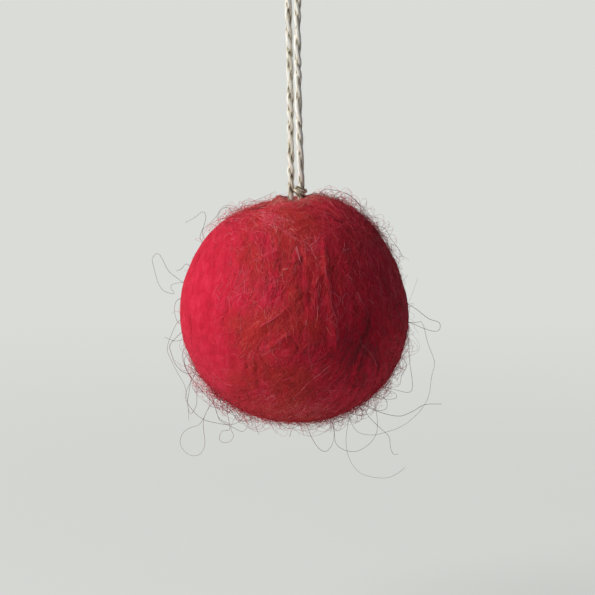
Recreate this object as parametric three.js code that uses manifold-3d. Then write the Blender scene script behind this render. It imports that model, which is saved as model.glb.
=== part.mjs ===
// Felt Christmas ball: a felted wool ball that hangs on a loop of natural twine.
// Millimetres, +Z up. The origin is on the axis of the hook that the loop hangs on.
// +X runs to the right across the front of the ball, and +Y runs to the back.
import * as THREE from "three";
import { mergeVertices } from "three/addons/utils/BufferGeometryUtils.js";
import Module from "manifold-3d";

// Driving dimensions
const BALL_DIAMETER = 50;
const SHELL_WALL = 5; // red wool over the undyed core
const LOOP_DROP = 52; // hook axis down to the ball's crown
const TWINE_DIAMETER = 1.4;
const EYE_RADIUS = 3.2; // middle of the twine, where it bends over the hook
const THROAT_DROP = 10; // hook axis down to the throat, where the two strands have come together
const THROAT_X = -0.36;
const STRAND_GAP_AT_THROAT = 0.62;
const KNOT_LENGTH = 3.9; // along X, across both legs
const KNOT_DIAMETER = 2.7;
const KNOT_GROOVE = 0.25; // dip between the knot's turns
const KNOT_TURNS = 3;
const KNOT_RISE = 0.4; // knot's middle above the crown
const KNOT_X = 0.28; // the twine meets the ball a little to the right
const STRAND_GAP_AT_KNOT = 0.78;
const DIMPLE_DEPTH = 0.9; // the twine's pull draws the crown in
const DIMPLE_RADIUS = 3.6;
const STITCH_DEPTH = 12; // crown down to the lowest point of the bite
const STITCH_BEND = 3.2;
const FIBRE_DIAMETER = 0.4; // loose wool fibre, really 0.03 mm thick, made stout enough for a solid
const CLEARANCE = 0.3; // between pieces that touch

// Where the ball is fuller (height over 0) or flatter than a true sphere.
// around is the angle in the front view, from +X towards +Z, front is the angle towards the viewer,
// and spread is how far the swell reaches, all in degrees. height is in millimetres.
const SWELLS = [
  { around: 22, front: 0, height: -0.75, spread: 24 },
  { around: 65, front: 5, height: 1.0, spread: 17 },
  { around: 111, front: 0, height: -0.7, spread: 13 },
  { around: 150, front: 42, height: 0.45, spread: 26 },
  { around: 200, front: 0, height: 0.3, spread: 25 },
  { around: 233, front: 0, height: -0.4, spread: 11 },
  { around: 265, front: 0, height: -0.5, spread: 22 },
  { around: 325, front: 0, height: 0.45, spread: 24 },
  { around: 335, front: 52, height: 0.4, spread: 28 },
  { around: 250, front: 55, height: -0.35, spread: 20 },
  { around: 60, front: -55, height: -0.5, spread: 30 },
  { around: 140, front: -35, height: 0.4, spread: 22 },
  { around: 205, front: -50, height: 0.4, spread: 25 },
  { around: 330, front: -40, height: -0.4, spread: 26 },
];

// The longest loose fibres, which spring out of the felt and come back to it or end in the air.
// Each place on a fibre's way is [around, front, height], with the angles as in SWELLS and the height
// over its foot at the felt.
const STRAY_FIBRES = [
  // At the outline, from the upper left round the bottom to the right
  [[145, -5, 0], [140, -5, 1.2], [134, -4, 2.8], [133, -3, 4], [137, -2, 4.6], [141, -1, 5]],
  [[168, -2, 0], [165, -4, 3], [159, -7, 7], [161, -8, 8], [168, -8, 6], [173, -7, 3], [174, -6, 0]],
  [[184, 2, 0], [193, 2, 2.4], [201, 2, 3.7], [212, 2, 3.8], [219, 2, 5], [226, 2, 8.7]],
  [[213, 6, 0], [217, 9, 4.7], [224, 12, 5.8], [233, 13, 5.2], [240, 13, 3.7], [244, 10, 0]],
  [
    [228, 4, 0], [230, 3, 6.6], [235, 2, 10.5], [237, 2, 13.4], [234, 1, 14.8], [230, 2, 14],
    [228, 5, 11.3], [230, 8, 7.4], [229, 9, 2.8], [228, 9, 0],
  ],
  [
    [234, 8, 0], [237, 9, 2.4], [240, 9, 4.6], [239, 9, 6.5], [241, 9, 7.8], [244, 8, 6.5],
    [243, 7, 4], [241, 6, 0],
  ],
  [[271, 11, 0], [277, 13, 2.5], [280, 14, 5.4], [283, 14, 6.3], [286, 13, 4], [288, 11, 0]],
  [[290, 5, 0], [287, 4, 5.6], [290, 3, 8], [298, 2, 8.7], [306, 3, 5.6], [312, 5, 0]],
  [[300, 8, 0], [293, 8, 4], [290, 9, 9.2], [293, 9, 13.3], [299, 10, 16.2], [306, 11, 16.2]],
  [[306, 11, 0], [306, 11, 6.3], [307, 10, 9], [305, 9, 11.4], [306, 9, 13.5]],
  [[309, 9, 0], [312, 10, 4], [319, 10, 8], [325, 10, 9.3], [328, 11, 12.2]],
  [[350, 5, 0], [341, 7, 1.5], [329, 9, 4.7], [325, 9, 5], [321, 8, 2.2], [318, 6, 0]],
  [
    [352, 2, 0], [354, -2, 3], [346, -4, 5], [338, -4, 7.7], [329, -4, 9], [320, -4, 10],
    [310, -4, 9], [302, -4, 7], [298, -3, 4], [297, -2, 0],
  ],
  [
    [5, -6, 0], [358, -9, 2], [355, -11, 4.7], [353, -11, 7.2], [350, -10, 6.8], [352, -8, 3.5],
    [356, -5, 0],
  ],
  // On the back
  [[20, -40, 0], [26, -46, 4], [36, -50, 6], [46, -50, 4], [52, -46, 0]],
  [[340, -30, 0], [334, -36, 5], [326, -42, 7], [320, -48, 5], [318, -54, 0]],
  [[300, -35, 0], [292, -40, 5], [284, -46, 8], [276, -44, 6], [272, -38, 0]],
  [[250, -30, 0], [244, -38, 4], [240, -46, 7], [246, -54, 7], [254, -56, 3], [256, -54, 0]],
  [[215, -40, 0], [208, -44, 5], [200, -50, 7], [190, -52, 4], [186, -48, 0]],
  [[170, -40, 0], [164, -44, 4], [156, -50, 6.5], [150, -56, 4], [150, -60, 0]],
  [[60, -66, 0], [30, -70, 4], [0, -70, 6], [330, -68, 4], [310, -62, 0]],
  [[190, -68, 0], [220, -72, 4], [260, -74, 7], [290, -70, 5], [300, -64, 0]],
];

// Where the two strands run. share is how far down the stretch a point is, middle is the place midway
// between the strands along X, and gap is the gap between them.
const NECK_ROUTE = [
  { share: 0.25, middle: -0.02, gap: 4.45 },
  { share: 0.45, middle: -0.09, gap: 3.3 },
  { share: 0.65, middle: -0.2, gap: 1.9 },
  { share: 0.83, middle: -0.3, gap: 1.0 },
];
const LEG_ROUTE = [
  { share: 0.075, middle: -0.36, gap: 0.5 },
  { share: 0.175, middle: -0.32, gap: 0.42 },
  { share: 0.275, middle: -0.25, gap: 0.36 },
  { share: 0.375, middle: -0.18, gap: 0.34 },
  { share: 0.475, middle: -0.12, gap: 0.34 },
  { share: 0.575, middle: -0.06, gap: 0.37 },
  { share: 0.675, middle: 0.02, gap: 0.45 },
  { share: 0.775, middle: 0.1, gap: 0.56 },
  { share: 0.875, middle: 0.2, gap: 0.67 },
  { share: 0.95, middle: 0.26, gap: 0.75 },
];

// Derived places
const BALL_RADIUS = BALL_DIAMETER / 2;
const TWINE_RADIUS = TWINE_DIAMETER / 2;
const FIBRE_RADIUS = FIBRE_DIAMETER / 2;
const CORE_RADIUS = BALL_RADIUS - SHELL_WALL - CLEARANCE;
const BALL_Z = -LOOP_DROP - BALL_RADIUS;
const KNOT_Z = -LOOP_DROP + KNOT_RISE;
const NECK_TOP = { z: -CLEARANCE / 2, middle: 0, gap: 2 * EYE_RADIUS - TWINE_DIAMETER };
const THROAT = { z: -THROAT_DROP, middle: THROAT_X, gap: STRAND_GAP_AT_THROAT };
const NECK_END = { ...THROAT, z: THROAT.z + TWINE_RADIUS + CLEARANCE };
const LEG_END = {
  z: KNOT_Z + KNOT_DIAMETER / 2 + CLEARANCE,
  middle: KNOT_X,
  gap: STRAND_GAP_AT_KNOT,
};
const STITCH_TOP_Z = KNOT_Z - KNOT_DIAMETER / 2 - CLEARANCE;
const STITCH_BEND_Z = -LOOP_DROP - STITCH_DEPTH + STITCH_BEND;
const HALF_SPACING_AT_KNOT = (TWINE_DIAMETER + STRAND_GAP_AT_KNOT) / 2;

// How finely round things are faceted
const TWINE_SIDES = 8;
const TWINE_STEP = 2 * TWINE_DIAMETER;
const EYE_STEPS = 12;
const STITCH_STEPS = 24;
const FIBRE_SIDES = 4;
const FIBRE_STEP = 5 * FIBRE_DIAMETER;
const BALL_SEGMENTS = 60;
const CORE_SEGMENTS = 36;
const RINGS_PER_SEGMENT = 0.6;
const KNOT_SEGMENTS = 20;
const KNOT_STATIONS = 18;
const SAME_POINT = 1e-4; // vertices closer than this are one

const wasm = await Module();
wasm.setup();

const redFelt = new THREE.MeshStandardMaterial({ color: 0xb5172b, roughness: 1, metalness: 0 });
const undyedWool = new THREE.MeshStandardMaterial({ color: 0xd8cdb8, roughness: 1, metalness: 0 });
const hempTwine = new THREE.MeshStandardMaterial({ color: 0xb7a98c, roughness: 0.95, metalness: 0 });

// Joining and cutting

function toSolid(geometry) {
  const bare = geometry.clone();
  bare.deleteAttribute("normal");
  bare.deleteAttribute("uv");
  const merged = mergeVertices(bare, SAME_POINT);
  return new wasm.Manifold(
    new wasm.Mesh({
      numProp: 3,
      vertProperties: new Float32Array(merged.attributes.position.array),
      triVerts: new Uint32Array(merged.index.array),
    }),
  );
}

function toGeometry(solid) {
  const mesh = solid.getMesh();
  const geometry = new THREE.BufferGeometry();
  geometry.setAttribute("position", new THREE.BufferAttribute(mesh.vertProperties, mesh.numProp));
  geometry.setIndex(new THREE.BufferAttribute(mesh.triVerts, 1));
  geometry.computeVertexNormals();
  return geometry;
}

// The ball

// Unit vector from the ball's middle, by the angles that SWELLS explains.
function directionTo(around, front) {
  const turn = THREE.MathUtils.degToRad(around);
  const lean = THREE.MathUtils.degToRad(front);
  return new THREE.Vector3(
    Math.cos(turn) * Math.cos(lean),
    -Math.sin(lean),
    Math.sin(turn) * Math.cos(lean),
  );
}

// Distance from the ball's middle to its surface, along a unit vector.
function feltRadius(direction) {
  let radius = BALL_RADIUS;
  for (const swell of SWELLS) {
    const away = THREE.MathUtils.radToDeg(direction.angleTo(directionTo(swell.around, swell.front)));
    radius += swell.height * Math.exp(-((away / swell.spread) ** 2));
  }
  if (direction.z > 0) {
    const fromKnot = Math.hypot(direction.x * BALL_RADIUS - KNOT_X, direction.y * BALL_RADIUS);
    radius -= DIMPLE_DEPTH * Math.exp(-((fromKnot / DIMPLE_RADIUS) ** 2));
  }
  return radius;
}

// A ball around the middle of the felt, whose radius may change with direction.
function ballGeometry(radiusAt, segments) {
  const geometry = new THREE.SphereGeometry(1, segments, Math.round(segments * RINGS_PER_SEGMENT));
  geometry.rotateX(Math.PI / 2);
  const position = geometry.attributes.position;
  const direction = new THREE.Vector3();
  for (let i = 0; i < position.count; i += 1) {
    direction.fromBufferAttribute(position, i).normalize();
    const radius = radiusAt(direction);
    position.setXYZ(i, direction.x * radius, direction.y * radius, direction.z * radius);
  }
  geometry.translate(0, 0, BALL_Z);
  return geometry;
}

// A loose fibre keeps the clearance from the felt at its foot.
function fibrePoint([around, front, height]) {
  const direction = directionTo(around, front);
  const reach = feltRadius(direction) + CLEARANCE + FIBRE_RADIUS + height;
  return new THREE.Vector3(0, 0, BALL_Z).addScaledVector(direction, reach);
}

// The twine

class Bight extends THREE.Curve {
  // Half a turn over the hook, stopping short of each leg by half the clearance.
  getPoint(t, target = new THREE.Vector3()) {
    const start = Math.asin(CLEARANCE / 2 / EYE_RADIUS);
    const angle = Math.PI - start - t * (Math.PI - 2 * start);
    return target.set(EYE_RADIUS * Math.cos(angle), 0, EYE_RADIUS * Math.sin(angle));
  }
}

const LEFT = -1;
const RIGHT = 1;

// A place on the left or right strand.
function strandPoint(side, { z, middle, gap }) {
  return new THREE.Vector3(middle + (side * (TWINE_DIAMETER + gap)) / 2, 0, z);
}

function strandCurve(side, top, route, end) {
  const between = route.map((row) => ({ ...row, z: THREE.MathUtils.lerp(top.z, end.z, row.share) }));
  return new THREE.CatmullRomCurve3([top, ...between, end].map((row) => strandPoint(side, row)));
}

// The bite under the knot: down from one leg, round a bend and up to the other.
function stitchPoints() {
  const left = [0, 1 / 3, 2 / 3].map((share) => {
    const spread = THREE.MathUtils.smoothstep(share, 0, 1);
    return new THREE.Vector3(
      KNOT_X - THREE.MathUtils.lerp(HALF_SPACING_AT_KNOT, STITCH_BEND, spread),
      0,
      THREE.MathUtils.lerp(STITCH_TOP_Z, STITCH_BEND_Z, share),
    );
  });
  const bend = [180, 216, 252, 288, 324, 360].map((degrees) => {
    const angle = THREE.MathUtils.degToRad(degrees);
    return new THREE.Vector3(
      KNOT_X + STITCH_BEND * Math.cos(angle),
      0,
      STITCH_BEND_Z + STITCH_BEND * Math.sin(angle),
    );
  });
  const right = left.map((p) => new THREE.Vector3(2 * KNOT_X - p.x, 0, p.z)).reverse();
  return [...left, ...bend, ...right];
}

// The needle's way through the wool, which opens under the knot at both ends.
function tunnelPoints() {
  const points = stitchPoints();
  const ends = [points[0], points.at(-1)].map((p) => new THREE.Vector3(p.x, 0, KNOT_Z));
  return [ends[0], ...points, ends[1]];
}

function tubeGeometry(curve, radius, sides, steps) {
  const corners = Array.from({ length: sides }, (_, i) => {
    const angle = (2 * Math.PI * i) / sides;
    return new THREE.Vector2(radius * Math.cos(angle), radius * Math.sin(angle));
  });
  const section = new THREE.Shape(corners);
  return new THREE.ExtrudeGeometry(section, { steps, extrudePath: curve, bevelEnabled: false });
}

function strandGeometry(curve) {
  return tubeGeometry(curve, TWINE_RADIUS, TWINE_SIDES, Math.ceil(curve.getLength() / TWINE_STEP));
}

// The knot is a barrel of turns wound side by side along X, with a groove between each two turns.
// The seat that it sits in is the same barrel, grown by the clearance and without grooves.
function knotGeometry(grow, groove) {
  const halfLength = KNOT_LENGTH / 2 + grow;
  const profile = [];
  for (let i = 0; i <= KNOT_STATIONS; i += 1) {
    const along = -1 + (2 * i) / KNOT_STATIONS;
    const barrel = Math.sqrt(1 - along ** 4);
    const dip = groove * Math.cos((Math.PI * KNOT_TURNS * (along + 1)) / 2) ** 2;
    profile.push(new THREE.Vector2(barrel * (KNOT_DIAMETER / 2 + grow - dip), along * halfLength));
  }
  const geometry = new THREE.LatheGeometry(profile, KNOT_SEGMENTS);
  geometry.rotateZ(-Math.PI / 2);
  geometry.translate(KNOT_X, 0, KNOT_Z);
  return geometry;
}

// The sub-parts

const needleTunnel = toSolid(
  tubeGeometry(
    new THREE.CatmullRomCurve3(tunnelPoints()),
    TWINE_RADIUS + CLEARANCE,
    TWINE_SIDES,
    STITCH_STEPS,
  ),
);

function feltShell() {
  const outside = toSolid(ballGeometry(feltRadius, BALL_SEGMENTS));
  const inside = toSolid(ballGeometry(() => BALL_RADIUS - SHELL_WALL, CORE_SEGMENTS));
  const knotSeat = toSolid(knotGeometry(CLEARANCE, 0));
  return toGeometry(outside.subtract(inside).subtract(knotSeat).subtract(needleTunnel));
}

function woolCore() {
  return toGeometry(toSolid(ballGeometry(() => CORE_RADIUS, CORE_SEGMENTS)).subtract(needleTunnel));
}

function twineEye() {
  return tubeGeometry(new Bight(), TWINE_RADIUS, TWINE_SIDES, EYE_STEPS);
}

function twineNeck(side) {
  return strandGeometry(strandCurve(side, NECK_TOP, NECK_ROUTE, NECK_END));
}

// A leg's top is round, so that the leg can swing to the front and back under its neck.
function twineLeg(side) {
  const leg = toSolid(strandGeometry(strandCurve(side, THROAT, LEG_ROUTE, LEG_END)));
  const roundTop = new THREE.SphereGeometry(TWINE_RADIUS, TWINE_SIDES, TWINE_SIDES / 2);
  roundTop.rotateX(Math.PI / 2);
  roundTop.translate(...strandPoint(side, THROAT).toArray());
  return toGeometry(leg.add(toSolid(roundTop)));
}

function twineStitch() {
  const curve = new THREE.CatmullRomCurve3(stitchPoints());
  return tubeGeometry(curve, TWINE_RADIUS, TWINE_SIDES, STITCH_STEPS);
}

function strayFibre(route) {
  const curve = new THREE.CatmullRomCurve3(route.map(fibrePoint));
  return tubeGeometry(curve, FIBRE_RADIUS, FIBRE_SIDES, Math.ceil(curve.getLength() / FIBRE_STEP));
}

const ornament = new THREE.Group();

function addPart(name, geometry, material) {
  const mesh = new THREE.Mesh(geometry, material);
  mesh.name = name;
  ornament.add(mesh);
}

addPart("twine_eye", twineEye(), hempTwine);
addPart("twine_left_neck", twineNeck(LEFT), hempTwine);
addPart("twine_right_neck", twineNeck(RIGHT), hempTwine);
addPart("twine_left_leg", twineLeg(LEFT), hempTwine);
addPart("twine_right_leg", twineLeg(RIGHT), hempTwine);
addPart("base_knot", knotGeometry(0, KNOT_GROOVE), hempTwine);
addPart("twine_stitch", twineStitch(), hempTwine);
addPart("felt_shell", feltShell(), redFelt);
addPart("wool_core", woolCore(), undyedWool);
STRAY_FIBRES.forEach((route, i) => addPart(`stray_fibre_${i + 1}`, strayFibre(route), redFelt));

export default ornament;
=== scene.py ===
"""Dress a hand-felted wool Christmas ball that hangs on a loop of hemp twine.

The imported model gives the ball, its core and the route of the twine as plain solids on five bodies.
Each class below takes one sub-assembly and builds what the eye sees of it: the felt with its nap and
stray fibres, the two-ply twine, and the small knot where the twine goes into the felt.
Lengths are in millimetres until MM turns them into metres. Numbers in brackets in a docstring, such as
(count, 3), are the shape of an array.
"""

import logging
import math
from dataclasses import dataclass, field
from enum import Enum

import bpy
import numpy as np
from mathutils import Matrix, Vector
from mathutils.bvhtree import BVHTree


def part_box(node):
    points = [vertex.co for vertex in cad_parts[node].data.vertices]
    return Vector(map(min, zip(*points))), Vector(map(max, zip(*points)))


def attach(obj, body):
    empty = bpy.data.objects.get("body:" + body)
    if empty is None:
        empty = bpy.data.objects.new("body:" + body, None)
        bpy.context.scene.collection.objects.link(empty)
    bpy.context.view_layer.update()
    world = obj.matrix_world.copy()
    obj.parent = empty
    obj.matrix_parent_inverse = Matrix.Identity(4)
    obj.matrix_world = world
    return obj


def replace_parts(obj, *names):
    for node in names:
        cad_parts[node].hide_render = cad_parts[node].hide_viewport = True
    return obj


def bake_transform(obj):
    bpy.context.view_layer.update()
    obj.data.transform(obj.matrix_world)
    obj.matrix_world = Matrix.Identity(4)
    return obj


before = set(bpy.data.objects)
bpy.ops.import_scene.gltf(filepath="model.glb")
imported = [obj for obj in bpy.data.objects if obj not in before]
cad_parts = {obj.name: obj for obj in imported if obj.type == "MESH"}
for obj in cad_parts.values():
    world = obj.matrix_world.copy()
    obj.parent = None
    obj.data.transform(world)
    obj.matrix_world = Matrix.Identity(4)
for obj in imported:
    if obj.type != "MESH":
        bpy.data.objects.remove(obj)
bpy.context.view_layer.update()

# Short names for types that the hints below repeat.
Array = np.ndarray
Piece = bpy.types.Object
Source = np.random.Generator
Pair = tuple[float, float]
Triple = tuple[float, float, float]

MM = 0.001
TURN = 2 * math.pi
TINY = 1e-9

# A fibre's tint runs over SHADE_SPAN from dark to light: up from 0 in the first wool, and up from
# SECOND_WOOL in the second.
SHADE_SPAN = 0.48
SECOND_WOOL = 0.52

# Large odd numbers and shifts that scatter the corners of a lattice into noise.
CORNER_PRIMES = np.array([73856093, 19349663, 83492791])
SEED_PRIME = 668265263
SCATTER_PRIMES = (1274126177, 2246822519)
SCATTER_SHIFTS = (15, 11)
LOW_BITS = 0xFFFF

# Points that a smooth curve gets between two of the points it runs through.
SPAN_STEPS = 24

# A direction that no strand starts along.
ASKEW = np.array([0.31, 0.85, 0.42])

# Digits to which the corners of neighbouring squares have to agree to become one.
MERGE_DIGITS = 7

log = logging.getLogger("felt_ball")


class Side(Enum):
    """The two sides of the loop, with the sign of their X."""

    LEFT = -1
    RIGHT = 1


class Lift(Enum):
    """How a loose fibre stands off the felt, with the power that shapes its rise."""

    LAID = 0.7
    ARCHED = 1.1
    FREE = 1.2


class Pattern(Enum):
    """The patterns of lattice noise in the wool, each with its seed."""

    SWIRL = 3
    STREAK = 5
    LUMP = 7
    FINE_LUMP = 8
    TUFT = 9
    ROLL = 12
    FINE_ROLL = 13
    SECOND_WOOL = 21
    FINE_SECOND_WOOL = 22


class Draws(Enum):
    """The pieces that draw random numbers, each with the step from its sub-assembly's own seed."""

    BIGHT = 1
    NECK = 3
    LEG = 6
    KNOT_STRANDS = 20
    KNOT_TURNS = 23
    HALO = 50
    FACE = 60
    ENTRY = 70
    FLYAWAYS = 90


def linear(colour: str) -> tuple[float, float, float, float]:
    """Turn an sRGB hex colour into linear light.

    Args:
        colour: Six hex digits after a hash sign.

    Returns:
        Linear red, green and blue, with full alpha.
    """
    shares = [int(colour[i : i + 2], 16) / 255 for i in (1, 3, 5)]
    lit = [s / 12.92 if s <= 0.04045 else ((s + 0.055) / 1.055) ** 2.4 for s in shares]
    return (lit[0], lit[1], lit[2], 1.0)


def add_node(
    tree: bpy.types.NodeTree,
    kind: str,
    settings: dict | None = None,
    links: dict | None = None,
    stops: list | None = None,
) -> bpy.types.Node:
    """Add a node with its settings and links.

    Args:
        tree: The node tree that gets the node.
        kind: Blender's name for the node type, after ShaderNode.
        settings: Values by property name, or by input name or number.
        links: Source sockets by input name or number.
        stops: Places and hex colours of a colour ramp.

    Returns:
        The new node.
    """
    node = tree.nodes.new("ShaderNode" + kind)
    for name, value in (settings or {}).items():
        if isinstance(name, str) and hasattr(node, name):
            setattr(node, name, value)
        else:
            node.inputs[name].default_value = value
    for name, source in (links or {}).items():
        tree.links.new(source, node.inputs[name])
    for number, (place, colour) in enumerate(stops or []):
        elements = node.color_ramp.elements
        element = elements[number] if number < 2 else elements.new(place)
        element.position = place
        element.color = linear(colour)
    return node


def new_material(name: str) -> tuple[bpy.types.Material, bpy.types.NodeTree]:
    """Make an empty node material.

    Args:
        name: The real material's common name.

    Returns:
        The material and its empty node tree.
    """
    material = bpy.data.materials.new(name)
    material.use_nodes = True
    material.node_tree.nodes.clear()
    return material, material.node_tree


def unit(vectors: Array) -> Array:
    """Scale vectors on the last axis to length one."""
    lengths = np.linalg.norm(vectors, axis=-1, keepdims=True)
    return vectors / np.maximum(lengths, TINY)


def squared(vectors: Array, along: Array) -> Array:
    """Unit vectors at right angles to unit directions, as near to given vectors as can be."""
    return unit(vectors - (vectors * along).sum(-1, keepdims=True) * along)


def turned(first: Array, second: Array, angles: Array) -> Array:
    """Turn vectors by angles towards others that are square to them."""
    return first * np.cos(angles) + second * np.sin(angles)


def fall_off(distance: Array, reach: float) -> Array:
    """A bell curve over distances, from 1 at none to 1/e at its reach."""
    return np.exp(-((distance / reach) ** 2))


def eased(share: Array) -> Array:
    """Let shares from 0 to 1 start and stop softly."""
    return share * share * (3 - 2 * share)


def grown(least: float, share: Array) -> Array:
    """Values that grow from their least, where the share is 0, to 1."""
    return least + (1 - least) * share


def lattice_noise(points: Array, cell: float, pattern: Pattern) -> Array:
    """Smooth noise from random values on a cubic lattice.

    Args:
        points: Places (count, 3).
        cell: Lattice spacing in the same units.
        pattern: Which of the patterns it is.

    Returns:
        One value from -1 to 1 for each point.
    """
    scaled = points / cell
    corner = np.floor(scaled).astype(np.int64)
    part = eased(scaled - corner)
    total = np.zeros(len(points))
    for step in np.ndindex(2, 2, 2):
        key = np.bitwise_xor.reduce((corner + np.array(step)) * CORNER_PRIMES, axis=1)
        key = (key ^ (pattern.value * SEED_PRIME)) * SCATTER_PRIMES[0]
        key = (key ^ (key >> SCATTER_SHIFTS[0])) * SCATTER_PRIMES[1]
        value = ((key >> SCATTER_SHIFTS[1]) & LOW_BITS) / (LOW_BITS // 2) - 1
        weight = np.where(np.array(step) == 1, part, 1 - part).prod(axis=1)
        total += weight * value
    return total


def smooth_line(points: Array, step: float) -> Array:
    """Run a Catmull-Rom curve through points and space it evenly.

    Args:
        points: Points to pass through (count, 3).
        step: Spacing of the result along the curve.

    Returns:
        Evenly spaced points (count, 3).
    """
    before = 2 * points[0] - points[1]
    after = 2 * points[-1] - points[-2]
    held = np.vstack([before, points, after])
    share = np.linspace(0, 1, SPAN_STEPS, endpoint=False)[:, None]
    spans = []
    for a, b, c, d in zip(held, held[1:], held[2:], held[3:]):
        curve = 2 * b + (c - a) * share
        curve = curve + (2 * a - 5 * b + 4 * c - d) * share**2
        curve = curve + (3 * b - a - 3 * c + d) * share**3
        spans.append(curve / 2)
    fine = np.vstack([*spans, points[-1:]])
    run = travelled(fine)
    stops = np.linspace(0, run[-1], max(2, round(run[-1] / step) + 1))
    return np.stack([np.interp(stops, run, fine[:, axis]) for axis in range(3)], axis=1)


def travelled(line: Array) -> Array:
    """Distance along a line at each of its points."""
    lengths = np.linalg.norm(np.diff(line, axis=0), axis=1)
    return np.concatenate([[0.0], np.cumsum(lengths)])


def thinned(line: Array, first: float, last: float, count: int) -> Array:
    """A number of a line's points, spaced evenly between two shares of its length."""
    numbers = np.linspace(first, last, count) * (len(line) - 1)
    return line[numbers.round().astype(int)]


def carried_normals(along: Array, first: Array) -> Array:
    """Carry a normal along each line without twisting it.

    Args:
        along: Unit directions (lines, points, 3).
        first: A vector for each line that isn't along it (lines, 3).

    Returns:
        Unit normals (lines, points, 3).
    """
    normals = np.empty_like(along)
    carried = first
    for place in range(along.shape[1]):
        carried = squared(carried, along[:, place])
        normals[:, place] = carried
    return normals


def add_object(name: str, data: bpy.types.ID) -> Piece:
    """Make an object and link it to the scene.

    Args:
        name: Name of the object.
        data: Its mesh, lamp or camera.

    Returns:
        The object.
    """
    made = bpy.data.objects.new(name, data)
    bpy.context.scene.collection.objects.link(made)
    return made


def aim(made: Piece, target: Vector, back: Vector, distance: float) -> None:
    """Set a camera or lamp back from its target by a distance in millimetres, and turn it to face that."""
    made.location = target + back * (distance * MM)
    made.rotation_euler = (-back).to_track_quat("-Z", "Y").to_euler()


def mesh_object(
    name: str,
    points: Array,
    faces: list[list[int]],
    values: dict[str, Array],
    smooth: bool = True,
) -> Piece:
    """Make a mesh object from millimetre points.

    Args:
        name: Name of the piece.
        points: Vertices (count, 3).
        faces: Vertex numbers of each face.
        values: Numbers that the finish reads at each vertex, by name.
        smooth: False where each face keeps its own shading.

    Returns:
        The object, linked to the scene.
    """
    mesh = bpy.data.meshes.new(name)
    mesh.from_pydata((points * MM).tolist(), [], faces)
    for label, numbers in values.items():
        attribute = mesh.attributes.new(label, "FLOAT", "POINT")
        attribute.data.foreach_set("value", numbers.astype(np.float32))
    if smooth:
        mesh.shade_smooth()
    return add_object(name, mesh)


@dataclass
class Strands:
    """Gathers swept fibres and yarns until they become one mesh."""

    points: list[Array] = field(default_factory=list)
    faces: list[list[int]] = field(default_factory=list)
    tints: list[Array] = field(default_factory=list)
    runs: list[Array] = field(default_factory=list)
    count: int = 0

    def sweep(
        self,
        lines: Array,
        radii: Array,
        sides: int,
        tints: Array,
        runs: Array | None = None,
        facing: Array | None = None,
    ) -> None:
        """Sweep a round section along each line and close its ends.

        Args:
            lines: Centre lines (strands, points, 3).
            radii: Section radii (strands, points).
            sides: Corners of the section.
            tints: A number from 0 to 1 for each strand, or for each of its points.
            runs: A number along each strand as (strands, points), or None for 0 to 1.
            facing: Directions that a flat of the section turns to (strands, points, 3).
        """
        strands, steps = lines.shape[:2]
        along = unit(np.gradient(lines, axis=1))
        if facing is None:
            normal = carried_normals(along, np.cross(along[:, 0], ASKEW))
        else:
            normal = squared(facing, along)
        side = np.cross(along, normal)
        turns = (np.arange(sides)[:, None] + 0.5) * TURN / sides
        around = turned(normal[:, :, None], side[:, :, None], turns)
        rings = lines[:, :, None] + radii[:, :, None, None] * around
        start = lines[:, 0] - radii[:, :1] * along[:, 0]
        stop = lines[:, -1] + radii[:, -1:] * along[:, -1]
        tips = np.stack([start, stop], axis=1)
        points = np.concatenate([rings.reshape(strands, -1, 3), tips], axis=1)
        self.points.append(points.reshape(-1, 3))
        if runs is None:
            runs = np.tile(np.linspace(0, 1, steps), (strands, 1))
        tints = np.broadcast_to(tints.reshape(strands, -1), (strands, steps))
        for numbers, kept in ((runs, self.runs), (tints, self.tints)):
            ends = numbers[:, [0, -1]]
            kept.append(np.concatenate([np.repeat(numbers, sides, axis=1), ends], axis=1).ravel())
        held = points.shape[1]
        base = self.count + np.arange(strands)[:, None, None] * held
        corner = np.arange(sides)
        following = (corner + 1) % sides
        row = np.arange(steps - 1)[:, None] * sides
        ahead = row + sides
        quad = np.stack([row + corner, row + following, ahead + following, ahead + corner], axis=-1)
        last = (steps - 1) * sides
        tip = np.full(sides, steps * sides)
        first_tip = np.stack([tip, following, corner], axis=-1)
        last_tip = np.stack([tip + 1, last + corner, last + following], axis=-1)
        self.faces += (quad.reshape(1, -1, 4) + base).reshape(-1, 4).tolist()
        self.faces += (np.concatenate([first_tip, last_tip])[None] + base).reshape(-1, 3).tolist()
        self.count += strands * held

    def to_object(self, name: str, smooth: bool = True) -> Piece:
        """Make the mesh, with its tint and run as a map so that each strand keeps its own colour.

        Args:
            name: Name of the piece.
            smooth: False where each face keeps its own shading.

        Returns:
            The object, linked to the scene.
        """
        tints = np.concatenate(self.tints)
        runs = np.concatenate(self.runs)
        values = {"tint": tints, "run": runs}
        piece = mesh_object(name, np.concatenate(self.points), self.faces, values, smooth)
        mesh = piece.data
        corners = np.empty(len(mesh.loops), np.int32)
        mesh.loops.foreach_get("vertex_index", corners)
        places = np.stack([tints, runs], axis=1)[corners]
        layer = mesh.uv_layers.new(name="UVMap")
        layer.data.foreach_set("uv", places.astype(np.float32).ravel())
        return piece


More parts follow.
